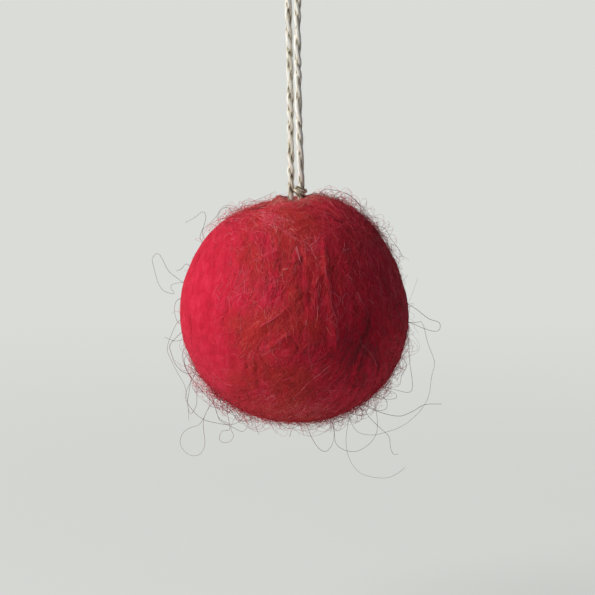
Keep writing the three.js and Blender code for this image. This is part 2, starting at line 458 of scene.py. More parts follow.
@dataclass(frozen=True)
class DyedWoolFelt:
    """Carded wool, dyed crimson and needled into a firm skin.

    It is dull, with soft streaks where fibres lie together and a pale nap at the rim.
    """

    dark: str = "#7E0D1E"
    deep: str = "#B4142C"
    crimson: str = "#C51B36"
    bright: str = "#D22B45"
    second: str = "#B5282A"
    worn_by_twine: str = "#D89A8A"
    sheen: str = "#F2A7AE"
    tuft_mm: float = 2.2
    fibre_mm: float = 0.30
    bump_mm: float = 0.12
    lay_share: float = 0.5

    def material(self) -> bpy.types.Material:
        """Make the felt: fibre streaks over patches of two reds, with a nap that catches light at the rim.

        Returns:
            The material.
        """
        material, tree = new_material("needle-felted dyed wool")
        place = add_node(tree, "TexCoord").outputs["Object"]
        names = ("lay", "second", "entry")
        read = [add_node(tree, "Attribute", {"attribute_name": name}) for name in names]
        lay, second, entry = (node.outputs["Fac"] for node in read)
        tuft = add_node(
            tree,
            "TexNoise",
            {"Scale": 1 / (self.tuft_mm * MM), "Detail": 3.0, "Roughness": 0.6},
            {"Vector": place},
        )
        # A wool fibre is about 0.03 mm thick: the grain is drawn ten times coarser so that it shows.
        grain = add_node(
            tree,
            "TexNoise",
            {"Scale": 1 / (self.fibre_mm * MM), "Detail": 2.0, "Roughness": 0.7},
            {"Vector": place},
        )
        streak = add_node(
            tree,
            "Math",
            {"operation": "MULTIPLY_ADD", 1: self.lay_share},
            {0: lay, 2: tuft.outputs["Fac"]},
        )
        # Low lay values reach the dark red: darker tufts of wool, and the painted shade at the face's lower
        # right.
        reds = add_node(
            tree,
            "ValToRGB",
            None,
            {"Fac": streak.outputs["Value"]},
            [(0.3, self.dark), (0.5, self.deep), (0.74, self.crimson), (1.0, self.bright)],
        )
        # One wrap of wool came from a browner dye bath, so a band over the ball is a warmer red.
        patched = add_node(
            tree,
            "Mix",
            {"data_type": "RGBA", 7: linear(self.second)},
            {0: second, 6: reds.outputs["Color"]},
        )
        # Threading the needle pulled pale twine dust into the felt round the knot.
        colour = add_node(
            tree,
            "Mix",
            {"data_type": "RGBA", 7: linear(self.worn_by_twine)},
            {0: entry, 6: patched.outputs[2]},
        )
        rough = add_node(
            tree, "MapRange", {"To Min": 0.86, "To Max": 1.0}, {"Value": grain.outputs["Fac"]}
        )
        bump = add_node(
            tree,
            "Bump",
            {"Strength": 0.5, "Distance": self.bump_mm * MM},
            {"Height": grain.outputs["Fac"]},
        )
        skin = add_node(
            tree,
            "BsdfPrincipled",
            {
                "IOR": 1.54,
                "Specular IOR Level": 0.15,
                "Sheen Weight": 0.08,
                "Sheen Roughness": 0.45,
                "Sheen Tint": linear(self.sheen),
            },
            {
                "Base Color": colour.outputs[2],
                "Roughness": rough.outputs["Result"],
                "Normal": bump.outputs["Normal"],
            },
        )
        add_node(tree, "OutputMaterial", None, {"Surface": skin.outputs["BSDF"]})
        return material


@dataclass(frozen=True)
class DyedWoolFibre:
    """Single dyed wool fibres: each keeps one shade, with a dull shine along its length."""

    name: str = "dyed wool fibre"
    crimson: tuple[str, str, str, str] = ("#6A0E1E", "#C81B36", "#DF3650", "#F2929C")
    second: tuple[str, str, str, str] = ("#7C1C1C", "#C0282C", "#D63C3C", "#F08C84")
    tips: str = "#EE7F8C"

    def material(self) -> bpy.types.Material:
        """Make the fibre: its shade comes from its tint and its ends are a little paler.

        Returns:
            The material.
        """
        material, tree = new_material(self.name)
        tint = add_node(tree, "Attribute", {"attribute_name": "tint"}).outputs["Fac"]
        run = add_node(tree, "Attribute", {"attribute_name": "run"}).outputs["Fac"]
        # The first wool's shades go from dark to light, and then the second's.
        places = (0.0, 0.18, 0.34, SHADE_SPAN, SECOND_WOOL, 0.7, 0.86, 1.0)
        shade = add_node(
            tree, "ValToRGB", None, {"Fac": tint}, list(zip(places, self.crimson + self.second))
        )
        end = add_node(
            tree, "MapRange", {"From Min": 0.8, "From Max": 1.0, "To Max": 0.3}, {"Value": run}
        )
        colour = add_node(
            tree,
            "Mix",
            {"data_type": "RGBA", 7: linear(self.tips)},
            {0: end.outputs["Result"], 6: shade.outputs["Color"]},
        )
        rough = add_node(tree, "MapRange", {"To Min": 0.55, "To Max": 0.75}, {"Value": tint})
        fibre = add_node(
            tree,
            "BsdfPrincipled",
            {"IOR": 1.54, "Specular IOR Level": 0.35},
            {"Base Color": colour.outputs[2], "Roughness": rough.outputs["Result"]},
        )
        add_node(tree, "OutputMaterial", None, {"Surface": fibre.outputs["BSDF"]})
        return material


# Fibres round the knot took up the pale dust of the twine.
DUSTY_FIBRE = DyedWoolFibre(
    name="dyed wool fibre with twine dust",
    second=("#9A4640", "#C26A60", "#DA9488", "#F0CEC2"),
    tips="#E0A89C",
)


# A long fibre that stands alone turns its shaded side to the eye, so its reds are painted dark and dull:
# painted shade.
LOOSE_FIBRE_IN_PAINTED_SHADE = DyedWoolFibre(
    name="dyed wool fibre standing alone in painted shade",
    crimson=("#4A1A20", "#702A32", "#904650", "#B27C82"),
    tips="#805054",
)


@dataclass(frozen=True)
class UndyedWool:
    """Undyed core wool, rolled tight: creamy and matte with loose strands."""

    cream: str = "#D9CDB4"
    shade: str = "#B8A989"
    strand_mm: float = 1.4
    bump_mm: float = 0.2

    def material(self) -> bpy.types.Material:
        """Make the core wool: cream, with painted shade darkening the hollows between its rolled strands.

        Returns:
            The material.
        """
        material, tree = new_material("rolled undyed wool")
        place = add_node(tree, "TexCoord").outputs["Object"]
        strand = add_node(
            tree,
            "TexNoise",
            {"Scale": 1 / (self.strand_mm * MM), "Detail": 4.0, "Roughness": 0.6},
            {"Vector": place},
        )
        # One noise sets both the bump and the colour, so the hollows get painted shade.
        cream = add_node(
            tree, "ValToRGB", None, {"Fac": strand.outputs["Fac"]}, [(0.3, self.shade), (0.65, self.cream)]
        )
        bump = add_node(
            tree,
            "Bump",
            {"Strength": 0.6, "Distance": self.bump_mm * MM},
            {"Height": strand.outputs["Fac"]},
        )
        wool = add_node(
            tree,
            "BsdfPrincipled",
            {"IOR": 1.54, "Roughness": 0.95, "Specular IOR Level": 0.15, "Sheen Weight": 0.3},
            {"Base Color": cream.outputs["Color"], "Normal": bump.outputs["Normal"]},
        )
        add_node(tree, "OutputMaterial", None, {"Surface": wool.outputs["BSDF"]})
        return material


@dataclass(frozen=True)
class HempTwine:
    """Natural hemp spun into two plies: straw-coloured bast fibres, slightly glossy, with darker flecks."""

    straw: str = "#E8DEC4"
    pale: str = "#FFFDF6"
    bark_and_shade: str = "#5C4F3B"
    fleck_mm: float = 2.4
    bundles_apart: float = 37.0
    tint_share: float = 0.35

    def material(self, length: float) -> bpy.types.Material:
        """Make the twine: each bundle of fibres has its own shade and darker flecks along it.

        Args:
            length: Length of twine, in millimetres, that the run from 0 to 1 stands for.

        Returns:
            The material.
        """
        material, tree = new_material("two-ply hemp twine")
        tint = add_node(tree, "Attribute", {"attribute_name": "tint"}).outputs["Fac"]
        run = add_node(tree, "Attribute", {"attribute_name": "run"}).outputs["Fac"]
        along = add_node(tree, "Math", {"operation": "MULTIPLY", 1: length / self.fleck_mm}, {0: run})
        # Bundles of unlike tint lie far apart in the noise, so each has flecks of its own.
        across = add_node(tree, "Math", {"operation": "MULTIPLY", 1: self.bundles_apart}, {0: tint})
        place = add_node(
            tree, "CombineXYZ", None, {"X": along.outputs["Value"], "Y": across.outputs["Value"]}
        )
        fleck = add_node(
            tree,
            "TexNoise",
            {"Scale": 1.0, "Detail": 3.0, "Roughness": 0.6},
            {"Vector": place.outputs["Vector"]},
        )
        mixed = add_node(
            tree,
            "Math",
            {"operation": "MULTIPLY_ADD", 1: self.tint_share},
            {0: tint, 2: fleck.outputs["Fac"]},
        )
        # Low tints turn to the bark colour: the twine's dark flecks, and the painted shade in its grooves and
        # at the knot.
        shade = add_node(
            tree,
            "ValToRGB",
            None,
            {"Fac": mixed.outputs["Value"]},
            [(0.42, self.bark_and_shade), (0.55, self.straw), (0.76, self.pale)],
        )
        rough = add_node(
            tree, "MapRange", {"To Min": 0.62, "To Max": 0.85}, {"Value": fleck.outputs["Fac"]}
        )
        yarn = add_node(
            tree,
            "BsdfPrincipled",
            {"IOR": 1.53, "Specular IOR Level": 0.3},
            {"Base Color": shade.outputs["Color"], "Roughness": rough.outputs["Result"]},
        )
        add_node(tree, "OutputMaterial", None, {"Surface": yarn.outputs["BSDF"]})
        return material


@dataclass(frozen=True)
class StudioPaper:
    """Matte pale paper under and behind the ball, evenly lit so that it reads as one tone."""

    pale: str = "#DADCD8"
    bounce: str = "#EEEEEB"
    near: float = 120.0
    far: float = 500.0
    own_light: float = 0.80

    def material(self) -> bpy.types.Material:
        """Make the paper: it keeps a soft shadow near the ball and fades into the background further out.

        Returns:
            The material.
        """
        material, tree = new_material("matte studio paper")
        path = add_node(tree, "LightPath")
        place = add_node(tree, "TexCoord").outputs["Object"]
        distance = add_node(tree, "VectorMath", {"operation": "LENGTH"}, {0: place})
        fade = add_node(
            tree,
            "MapRange",
            {
                "interpolation_type": "SMOOTHSTEP",
                "From Min": self.near * MM,
                "From Max": self.far * MM,
                "To Min": self.own_light,
            },
            {"Value": distance.outputs["Value"]},
        )
        seen = add_node(
            tree,
            "Math",
            {"operation": "MULTIPLY"},
            {0: fade.outputs["Result"], 1: path.outputs["Is Camera Ray"]},
        )
        paper = add_node(tree, "BsdfDiffuse", {"Color": linear(self.bounce)})
        glow = add_node(tree, "Emission", {"Color": linear(self.pale), "Strength": 1.0})
        both = add_node(
            tree,
            "MixShader",
            None,
            {0: seen.outputs["Value"], 1: paper.outputs["BSDF"], 2: glow.outputs["Emission"]},
        )
        add_node(tree, "OutputMaterial", None, {"Surface": both.outputs["Shader"]})
        return material


@dataclass(frozen=True)
class Viewpoint:
    """Where the picture is taken from, and how the picture's pixels lie on the ball's middle plane."""

    distance: float = 620.0
    elevation: float = 8.0
    picture_side: int = 595
    pixels_per_mm: float = 4.62
    ball_pixel: Pair = (294.8, 309.8)
    sensor: float = 36.0
    passes: int = 4

    def on_plane(self, pixel: Pair) -> Pair:
        """Millimetres right of and above the ball's middle, for a pixel of the picture."""
        across = (pixel[0] - self.ball_pixel[0]) / self.pixels_per_mm
        return across, (self.ball_pixel[1] - pixel[1]) / self.pixels_per_mm

    def in_space(self, ball: Array, pixel: Pair, depth: float) -> Array:
        """The place that a pixel shows, at a depth behind the plane through the ball's middle.

        Args:
            ball: The ball's middle in millimetres.
            pixel: Across and down in the picture.
            depth: Millimetres behind that plane.

        Returns:
            A point in millimetres.
        """
        across, above = self.on_plane(pixel)
        tilt = math.radians(self.elevation)
        back = above * math.sin(tilt) + depth * math.cos(tilt)
        up = above * math.cos(tilt) - depth * math.sin(tilt)
        return ball + np.array([across, back, up])

    def on_ball(self, pixel: Pair, radius: float) -> Array:
        """The direction, from a ball's middle, of the place on its face that a pixel shows.

        Args:
            pixel: Across and down in the picture.
            radius: The ball's radius in millimetres.

        Returns:
            A unit vector.
        """
        across, above = self.on_plane(pixel)
        near = radius
        # How near the face is sets its scale, and the scale how near it is: a few passes settle both.
        for _ in range(self.passes):
            scale = 1 - near / self.distance
            near = math.sqrt(max(radius**2 - (across * scale) ** 2 - (above * scale) ** 2, 0.0))
        scaled = (
            self.ball_pixel[0] + across * scale * self.pixels_per_mm,
            self.ball_pixel[1] - above * scale * self.pixels_per_mm,
        )
        return unit(self.in_space(np.zeros(3), scaled, -near))

    def set_camera(self, ball: Array) -> None:
        """Make the camera and give it to the scene.

        Args:
            ball: The ball's middle in millimetres.
        """
        middle = (self.picture_side / 2, self.picture_side / 2)
        across, above = self.on_plane(middle)
        target = Vector((ball[0] + across, ball[1], ball[2] + above)) * MM
        tilt = math.radians(self.elevation)
        back = Vector((0.0, -math.cos(tilt), math.sin(tilt)))
        lens = bpy.data.cameras.new("camera")
        lens.sensor_width = self.sensor
        lens.lens = self.sensor * self.distance * self.pixels_per_mm / self.picture_side
        camera = add_object("camera", lens)
        aim(camera, target, back, self.distance)
        bpy.context.scene.camera = camera


@dataclass(frozen=True)
class StrayFibre:
    """One long loose fibre at the ball's outline: its course in picture pixels, and how far back it bows."""

    course: tuple[Pair, ...]
    bow: float
    kind: Lift = Lift.ARCHED


STRAY_FIBRES = (
    StrayFibre(
        ((188, 286), (178, 279), (168, 271), (162, 260), (157, 253), (151, 258), (153, 269), (157, 283),
         (163, 291), (174, 294), (170, 288), (173, 284), (186, 282)), 5.1),
    StrayFibre(
        ((206, 246), (200, 238), (204, 226), (206, 217), (203, 212), (195, 218),
         (186, 223)), -3.4, Lift.FREE),
    StrayFibre(
        ((206, 243), (202, 231), (209, 224), (216, 216), (221, 208), (228, 205), (236, 208),
         (244, 214)), 2.5),
    StrayFibre(((236, 216), (228, 208), (222, 210), (218, 217), (220, 226)), -1.7),
    StrayFibre(((192, 268), (186, 264), (181, 269), (176, 271)), 1.7, Lift.FREE),
    StrayFibre(((186, 296), (177, 301), (175, 311), (178, 322), (186, 326)), -2.5),
    StrayFibre(
        ((184, 318), (177, 323), (170, 338), (167, 349), (170, 359), (178, 375), (184, 386), (187, 403),
         (188, 421)), 4.2, Lift.FREE),
    StrayFibre(((190, 340), (182, 340), (175, 341), (165, 337)), -3.4, Lift.FREE),
    StrayFibre(((184, 330), (171, 344), (172, 353), (177, 365), (186, 373), (198, 372)), -4.2),
    StrayFibre(
        ((190, 352), (184, 360), (188, 373), (197, 386), (208, 398), (222, 408), (235, 416),
         (246, 412)), 1.7),
    StrayFibre(
        ((190, 345), (183, 352), (186, 369), (194, 381), (205, 394), (214, 405), (219, 418),
         (229, 424)), -1.7),
    StrayFibre(
        ((200, 376), (192, 376), (189, 390), (187, 404), (190, 415), (196, 405), (197, 390),
         (204, 384)), 3.4),
    StrayFibre(
        ((196, 372), (186, 394), (191, 407), (203, 418), (216, 422), (230, 424), (240, 421),
         (246, 411)), -5.1),
    StrayFibre(
        ((216, 398), (207, 411), (203, 421), (203, 432), (204, 446), (199, 456), (189, 457), (181, 450),
         (179, 442), (183, 433), (191, 428), (200, 424), (210, 405)), 6.0),
    StrayFibre(
        ((218, 396), (213, 401), (216, 411), (220, 421), (233, 428), (243, 432), (249, 423),
         (252, 413)), 1.7),
    StrayFibre(
        ((226, 404), (228, 416), (230, 429), (222, 431), (220, 440), (228, 442), (234, 436), (231, 427),
         (238, 412)), -3.4),
    StrayFibre(((212, 392), (222, 403), (231, 410), (237, 419), (246, 421), (256, 414)), -2.5),
    StrayFibre(((258, 412), (254, 420), (256, 428), (259, 435)), 1.7, Lift.FREE),
    StrayFibre(((268, 416), (278, 423), (288, 429), (297, 427), (304, 421), (314, 416)), 1.7),
    StrayFibre(
        ((296, 416), (306, 424), (311, 436), (318, 447), (325, 451), (331, 446), (334, 436),
         (333, 418)), -3.4),
    StrayFibre(
        ((330, 414), (334, 430), (336, 444), (344, 451), (356, 453), (368, 447), (376, 437), (378, 425),
         (376, 410), (372, 394)), 5.1),
    StrayFibre(
        ((352, 408), (348, 424), (346, 442), (349, 458), (358, 471), (370, 476), (386, 477), (397, 472),
         (404, 466)), -6.0, Lift.FREE),
    StrayFibre(
        ((362, 404), (369, 417), (380, 428), (389, 437), (391, 449), (394, 455),
         (399, 455)), 3.4, Lift.FREE),
    StrayFibre(
        ((400, 322), (414, 323), (423, 323), (429, 344), (436, 363), (433, 378), (430, 398), (420, 414),
         (404, 427), (388, 433), (372, 436), (356, 431), (346, 410)), 6.8),
    StrayFibre(((362, 404), (376, 411), (398, 416), (412, 411), (424, 404), (440, 403)), -6.8, Lift.FREE),
    StrayFibre(((402, 326), (408, 338), (409, 360), (412, 384), (409, 392), (396, 390), (380, 386)), -3.4),
    StrayFibre(((392, 362), (402, 358), (407, 367), (402, 376), (399, 386), (384, 388)), 2.5),
    StrayFibre(((368, 396), (384, 399), (396, 398), (393, 392), (378, 390)), -1.7),
    StrayFibre(((376, 394), (386, 400), (387, 409), (378, 411), (364, 404)), 3.4),
    StrayFibre(((400, 300), (415, 308), (430, 319), (441, 323), (440, 331), (428, 330), (400, 318)), 6.8),
    StrayFibre(((372, 226), (384, 228), (392, 240), (399, 249), (403, 257)), 2.5, Lift.FREE),
    StrayFibre(
        ((314, 200), (324, 190), (336, 191), (349, 195), (357, 203), (367, 212), (375, 225),
         (374, 236)), -2.5),
    StrayFibre(((334, 204), (343, 194), (351, 196), (362, 207), (372, 222)), 1.7),
    StrayFibre(((244, 212), (246, 203), (254, 201), (264, 197), (275, 192)), -1.7, Lift.FREE),
)


@dataclass(frozen=True)
class LaidHair:
    """A hair or lock that shows on the face of the felt.

    It has a course in picture pixels, and its fibres' number and shade.
    """

    course: tuple[Pair, ...]
    fibres: int = 1
    shade: float = 0.85


# Hairs of shade 1.0 get the palest fibre colour as a painted highlight, for the light that glints on them.
FACE_HAIRS = (
    LaidHair(((332, 280), (331, 292), (331, 302), (333, 310), (337, 322), (337, 342)), 5, 0.75),
    LaidHair(((318, 285), (317, 298), (317, 313)), 5, 0.75),
    LaidHair(((313, 297), (312, 306), (312, 316)), 3, 0.7),
    LaidHair(((324, 261), (325, 268), (326, 276), (328, 284)), 3, 0.8),
    LaidHair(((327, 242), (326, 249), (325, 258)), 5, 0.7),
    LaidHair(((351, 292), (346, 293), (343, 299), (344, 305), (347, 312)), 2, 0.8),
    LaidHair(((294, 245), (297, 253), (299, 259), (302, 265)), 3, 1.0),
    LaidHair(((341, 296), (340, 304)), 2, 0.8),
    LaidHair(((351, 265), (356, 271), (360, 278)), 2, 0.8),
    LaidHair(((343, 252), (348, 249), (353, 248)), 2, 0.8),
    LaidHair(((334, 233), (338, 237), (342, 240)), 2, 0.75),
    LaidHair(((367, 297), (370, 300), (374, 304)), 1, 0.9),
    LaidHair(
        ((288, 409), (296, 398), (304, 389), (313, 380), (320, 375), (327, 368), (335, 363),
         (344, 359)), 2, 0.95),
    LaidHair(((360, 328), (362, 336), (362, 343), (367, 347), (372, 354), (376, 362), (377, 371)), 2, 0.9),
    LaidHair(((346, 397), (350, 390), (358, 386), (366, 382), (363, 370)), 1, 0.85),
    LaidHair(((338, 387), (346, 385), (356, 384), (366, 384)), 1, 0.8),
    LaidHair(((320, 393), (327, 387), (330, 391), (332, 401)), 1, 0.8),
    LaidHair(((327, 312), (328, 322)), 2, 0.85),
    LaidHair(((306, 318), (306, 326)), 2, 0.9),
    LaidHair(((326, 324), (324, 335), (321, 346)), 3, 0.65),
    LaidHair(((310, 336), (309, 352), (312, 366), (308, 376)), 2, 0.7),
    LaidHair(((273, 215), (278, 217), (283, 219), (288, 222)), 3, 0.9),
    LaidHair(((248, 236), (255, 232), (262, 232), (268, 235)), 4, 0.7),
    LaidHair(((280, 228), (287, 232), (292, 236), (297, 240)), 5, 0.75),
    LaidHair(((296, 239), (303, 240), (311, 243)), 3, 0.75),
    LaidHair(((268, 241), (273, 247), (279, 249)), 2, 0.8),
    LaidHair(((262, 257), (270, 253), (278, 249)), 4, 0.7),
    LaidHair(((247, 263), (254, 259), (263, 257)), 4, 0.65),
    LaidHair(((283, 269), (289, 268)), 3, 1.0),
    LaidHair(((217, 290), (221, 285), (224, 279)), 3, 0.65),
    LaidHair(((255, 329), (262, 324), (270, 320), (277, 315), (285, 309)), 7, 0.72),
    LaidHair(((268, 348), (276, 343), (284, 338), (292, 332)), 6, 0.7),
    LaidHair(((280, 384), (287, 380), (295, 377)), 4, 0.65),
    LaidHair(((245, 395), (254, 393), (267, 394)), 5, 0.65),
    LaidHair(((249, 385), (258, 384)), 3, 0.65),
)

# Needle pits that show on the face, in picture pixels.
FACE_PITS = ((228, 311), (247, 368), (256, 371), (233, 262), (281, 268), (303, 259), (267, 332), (325, 336))

# Locks of wool that stand up from the face as soft ridges, in picture pixels.
FACE_RIDGES = (
    ((325, 238), (325, 256), (329, 284), (331, 308), (336, 334), (337, 352)),
    ((316, 283), (316, 298), (315, 314)),
    ((254, 330), (262, 324), (272, 318), (286, 309)),
    ((268, 349), (280, 341), (292, 332)),
    ((262, 258), (270, 254), (279, 249)),
)


@dataclass(frozen=True)
class ToneAndLightPatch:
    """A part of the face drawn darker or lighter than the wool round it: some for the wool's own tone, some
    as painted light and shade.

    It has a middle and a reach in picture pixels, and the change of shade.
    """

    middle: Pair
    reach: float
    change: float


# The patches that make the top and the bottom lighter and the lower right darker are painted light and shade;
# others are darker or lighter tufts of wool.
FACE_TONE_AND_LIGHT_PATCHES = (
    ToneAndLightPatch((283, 264), 12, -0.20),
    ToneAndLightPatch((266, 270), 5, -0.15),
    ToneAndLightPatch((305, 288), 10, -0.25),
    ToneAndLightPatch((322, 326), 9, -0.22),
    ToneAndLightPatch((300, 346), 12, -0.12),
    ToneAndLightPatch((341, 350), 20, -0.36),
    ToneAndLightPatch((372, 342), 24, -0.38),
    ToneAndLightPatch((360, 378), 16, -0.40),
    ToneAndLightPatch((316, 396), 12, -0.15),
    ToneAndLightPatch((270, 218), 22, 0.34),
    ToneAndLightPatch((288, 238), 18, 0.18),
    ToneAndLightPatch((310, 252), 16, 0.16),
    ToneAndLightPatch((252, 272), 14, 0.18),
    ToneAndLightPatch((276, 316), 12, 0.20),
    ToneAndLightPatch((214, 374), 14, 0.15),
    ToneAndLightPatch((258, 352), 14, 0.16),
    ToneAndLightPatch((268, 402), 16, 0.26),
    ToneAndLightPatch((304, 414), 24, 0.34),
)


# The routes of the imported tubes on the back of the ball. Each place is the angle in the front view, the
# angle towards the viewer and the height over the felt, in degrees and millimetres.
BACK_FIBRES = (
    ((20, -40, 0), (26, -46, 4), (36, -50, 6), (46, -50, 4), (52, -46, 0)),
    ((340, -30, 0), (334, -36, 5), (326, -42, 7), (320, -48, 5), (318, -54, 0)),
    ((300, -35, 0), (292, -40, 5), (284, -46, 8), (276, -44, 6), (272, -38, 0)),
    ((250, -30, 0), (244, -38, 4), (240, -46, 7), (246, -54, 7), (254, -56, 3), (256, -54, 0)),
    ((215, -40, 0), (208, -44, 5), (200, -50, 7), (190, -52, 4), (186, -48, 0)),
    ((170, -40, 0), (164, -44, 4), (156, -50, 6.5), (150, -56, 4), (150, -60, 0)),
    ((60, -66, 0), (30, -70, 4), (0, -70, 6), (330, -68, 4), (310, -62, 0)),
    ((190, -68, 0), (220, -72, 4), (260, -74, 7), (290, -70, 5), (300, -64, 0)),
)


@dataclass(frozen=True)
class WayPoint:
    """One place on the loop, by its drop below the hook.

    It has the middle and the gap of the two strands there, and how far each of them leans out of the
    loop's plane, the right one to the front.
    """

    drop: float
    middle: float
    gap: float
    lean: float = 0.0


@dataclass(frozen=True)
class Wave:
    """A slow change along the twine: its size, its turn in radians for each millimetre, and its start."""

    size: float
    rate: float
    start: float = 0.0

    def at(self, run: Array, shift: float = 0.0) -> Array:
        """The change at distances along the twine, with the wave shifted by an angle."""
        return self.size * np.sin(self.rate * run + self.start + shift)


@dataclass(frozen=True)
class BrokenFibre:
    """The short broken fibres that stand out of the twine, in millimetres and shares of their length."""

    per_mm: float = 4.5
    points: int = 5
    sides: int = 3
    length_shape: float = 2.2
    length_scale: float = 0.32
    lengths: Pair = (0.25, 1.9)
    root: float = 0.5
    rise: float = 0.55
    reach: float = 0.9
    droop: float = 0.25
    bend: float = 0.5
    radii: Pair = (0.016, 0.03)
    taper: float = 0.6
    tints: Pair = (0.2, 1.0)


@dataclass
class TwineLoop:
    """The loop of two-ply twine: bight over the hook, two necks, two legs, the knot and the buried stitch."""

    thickness: float = 1.4
    eye_radius: float = 3.2
    route: tuple[WayPoint, ...] = tuple(
        WayPoint(*place)
        for place in (
            (0.15, 0.0, 5.0), (2.36, -0.02, 4.45), (4.13, -0.09, 3.3), (5.90, -0.2, 1.9),
            (7.50, -0.3, 1.0), (9.0, -0.36, 0.62), (10.0, -0.36, 0.62), (13.0, -0.36, 0.5, 0.15),
            (17.0, -0.32, 0.42, 0.35), (21.0, -0.25, 0.36, 0.52), (25.0, -0.18, 0.34, 0.6),
            (29.0, -0.12, 0.34, 0.6), (33.0, -0.06, 0.37, 0.6), (37.0, 0.02, 0.45, 0.6),
            (41.0, 0.1, 0.56, 0.55), (45.0, 0.2, 0.67, 0.4), (47.95, 0.26, 0.75, 0.15),
            (49.95, 0.28, 0.78), (51.6, 0.28, 0.85), (53.25, 0.28, 0.78),
        )
    )
    bight_end: float = 4.1
    neck_end: float = 14.0
    leg_end: float = 50.4
    ply_offset: float = 0.23
    ply_radius: float = 0.55
    ply_sides: int = 6
    twist_pitch: float = 8.5
    wobble: tuple[Wave, ...] = (Wave(0.2, 1.1), Wave(0.6, 0.45, 1.0))
    plump: tuple[Wave, ...] = (Wave(0.06, 2.1), Wave(0.05, 0.9, 2.0))
    core_share: float = 0.62
    core_tints: Pair = (0.1, 0.2)
    bundles: int = 10
    bundle_pitch: float = 9.0
    bundle_share: float = 0.27
    bundle_lumps: Wave = Wave(0.12, 1.7)
    lumps_apart: float = 2.4
    bundle_shade: float = 0.7
    bundle_stride: int = 3
    ply_stride: int = 4
    groove_shade: float = 1.9
    groove_depth: float = 0.8
    drift: float = 0.3
    step: float = 0.25
    bend_points: int = 9
    hair: BrokenFibre = BrokenFibre()
    seed: int = 11
    knot_girth: float = 0.88
    # Painted shade, with some stain, on the strands where they near the felt.
    strand_shade_and_stain: float = 0.35
    wrap_step: float = 0.2
    wrap_start: float = 3.0
    # Each turn of the knot: the painted shade, with some stain, that lowers its tints, and its course round
    # the knot's middle.
    knot_turns: tuple[tuple[float, tuple[Triple, ...]], ...] = (
        (0.35, (
            (0.4, 0.7, 0.3), (0.3, -0.2, 0.95), (0.75, -0.85, 0.95), (1.35, -0.8, 0.7),
            (1.7, -0.1, 0.45), (1.35, 0.7, 0.3), (0.5, 0.85, 0.2),
        )),
        (0.45, (
            (0.5, 0.85, 0.2), (0.05, 0.4, 0.45), (0.05, -0.5, 0.4), (0.5, -1.05, 0.0),
            (1.15, -1.05, -0.5), (1.65, -0.5, -0.95), (1.5, 0.3, -1.4), (0.9, 0.7, -1.9),
        )),
    )
    stitch_spread: float = 3.2
    stitch_bend_drop: float = 60.8
    line: Array = field(init=False)
    run: Array = field(init=False)
    crest: int = field(init=False)

    def __post_init__(self) -> None:
        """Lay the whole loop as one line, up the left side, over the hook and down the right."""
        turn = np.linspace(math.pi, 0, self.bend_points)[1:-1]
        eye = np.stack([np.cos(turn), np.zeros(len(turn)), np.sin(turn)], axis=1) * self.eye_radius
        left = self.side_points(Side.LEFT)[::-1]
        points = np.vstack([left, eye, self.side_points(Side.RIGHT)])
        self.line = smooth_line(points, self.step)
        self.run = travelled(self.line)
        self.crest = int(np.argmax(self.line[:, 2]))

    def side_points(self, side: Side) -> Array:
        """Points of one side of the loop, from the hook down."""
        reach = [w.middle + side.value * (self.thickness + w.gap) / 2 for w in self.route]
        return np.array([[x, -side.value * w.lean, -w.drop] for x, w in zip(reach, self.route)])

    def stretch(self, side: Side, top: float, bottom: float) -> Array:
        """Numbers of the line's points on one side, between two drops below the hook.

        Args:
            side: Which side of the loop.
            top: Upper drop in millimetres.
            bottom: Lower drop in millimetres.

        Returns:
            Consecutive point numbers, in the line's own direction.
        """
        numbers = np.arange(len(self.line))
        on_side = numbers <= self.crest if side is Side.LEFT else numbers >= self.crest
        drop = -self.line[:, 2]
        reach = self.step / 2
        return numbers[on_side & (drop >= top - reach) & (drop <= bottom + reach)]

    def lay_plies(
        self,
        strands: Strands,
        line: Array,
        run: Array,
        girth: float = 1.0,
        shade_and_stain: Array | None = None,
    ) -> None:
        """Twist two plies of fibre bundles round a line.

        Args:
            strands: Gathers the bundles.
            line: Centre line (points, 3).
            run: Distance along the whole twine at each point, which sets the twist.
            girth: Thickness as a share of the free twine's.
            shade_and_stain: How far painted shade, with some stain from handling, lowers its tints at each
                point, or None for clean twine.
        """
        shade_and_stain = np.zeros(len(line)) if shade_and_stain is None else shade_and_stain
        offset = self.ply_offset * girth
        radius = self.ply_radius * girth
        along = unit(np.gradient(line, axis=0))[None]
        normal = carried_normals(along, np.array([[0.0, 1.0, 0.0]]))[0]
        side = np.cross(along[0], normal)
        wobble = sum(wave.at(run) for wave in self.wobble)
        plump = sum((wave.at(run) for wave in self.plump), 1)
        share = run / self.run[-1]
        # The tints rise slowly along the twine from its left end to its right, so the right strand is a
        # little lighter.
        drift = self.drift * (share - 0.5)
        plies, bundles, radii, tints = [], [], [], []
        for ply in range(2):
            angle = wobble - TURN * run / self.twist_pitch + ply * math.pi
            centre = line + offset * turned(normal, side, angle[:, None])
            plies.append(centre)
            for bundle in range(self.bundles):
                spin = TURN * (run / self.bundle_pitch + bundle / self.bundles)
                lumps = 1 + self.bundle_lumps.at(run, self.lumps_apart * bundle)
                thick = radius * self.bundle_share * plump * lumps
                reach = (radius * plump - thick)[:, None]
                bundles.append(centre + reach * turned(normal, side, spin[:, None]))
                radii.append(thick)
                # Painted shade, with some dust, darkens the grooves between the plies, and the bundles
                # furthest out are drawn lighter.
                depth = np.linalg.norm(bundles[-1] - line, axis=1) / (offset + radius - thick)
                groove = self.groove_shade * (depth - self.groove_depth)
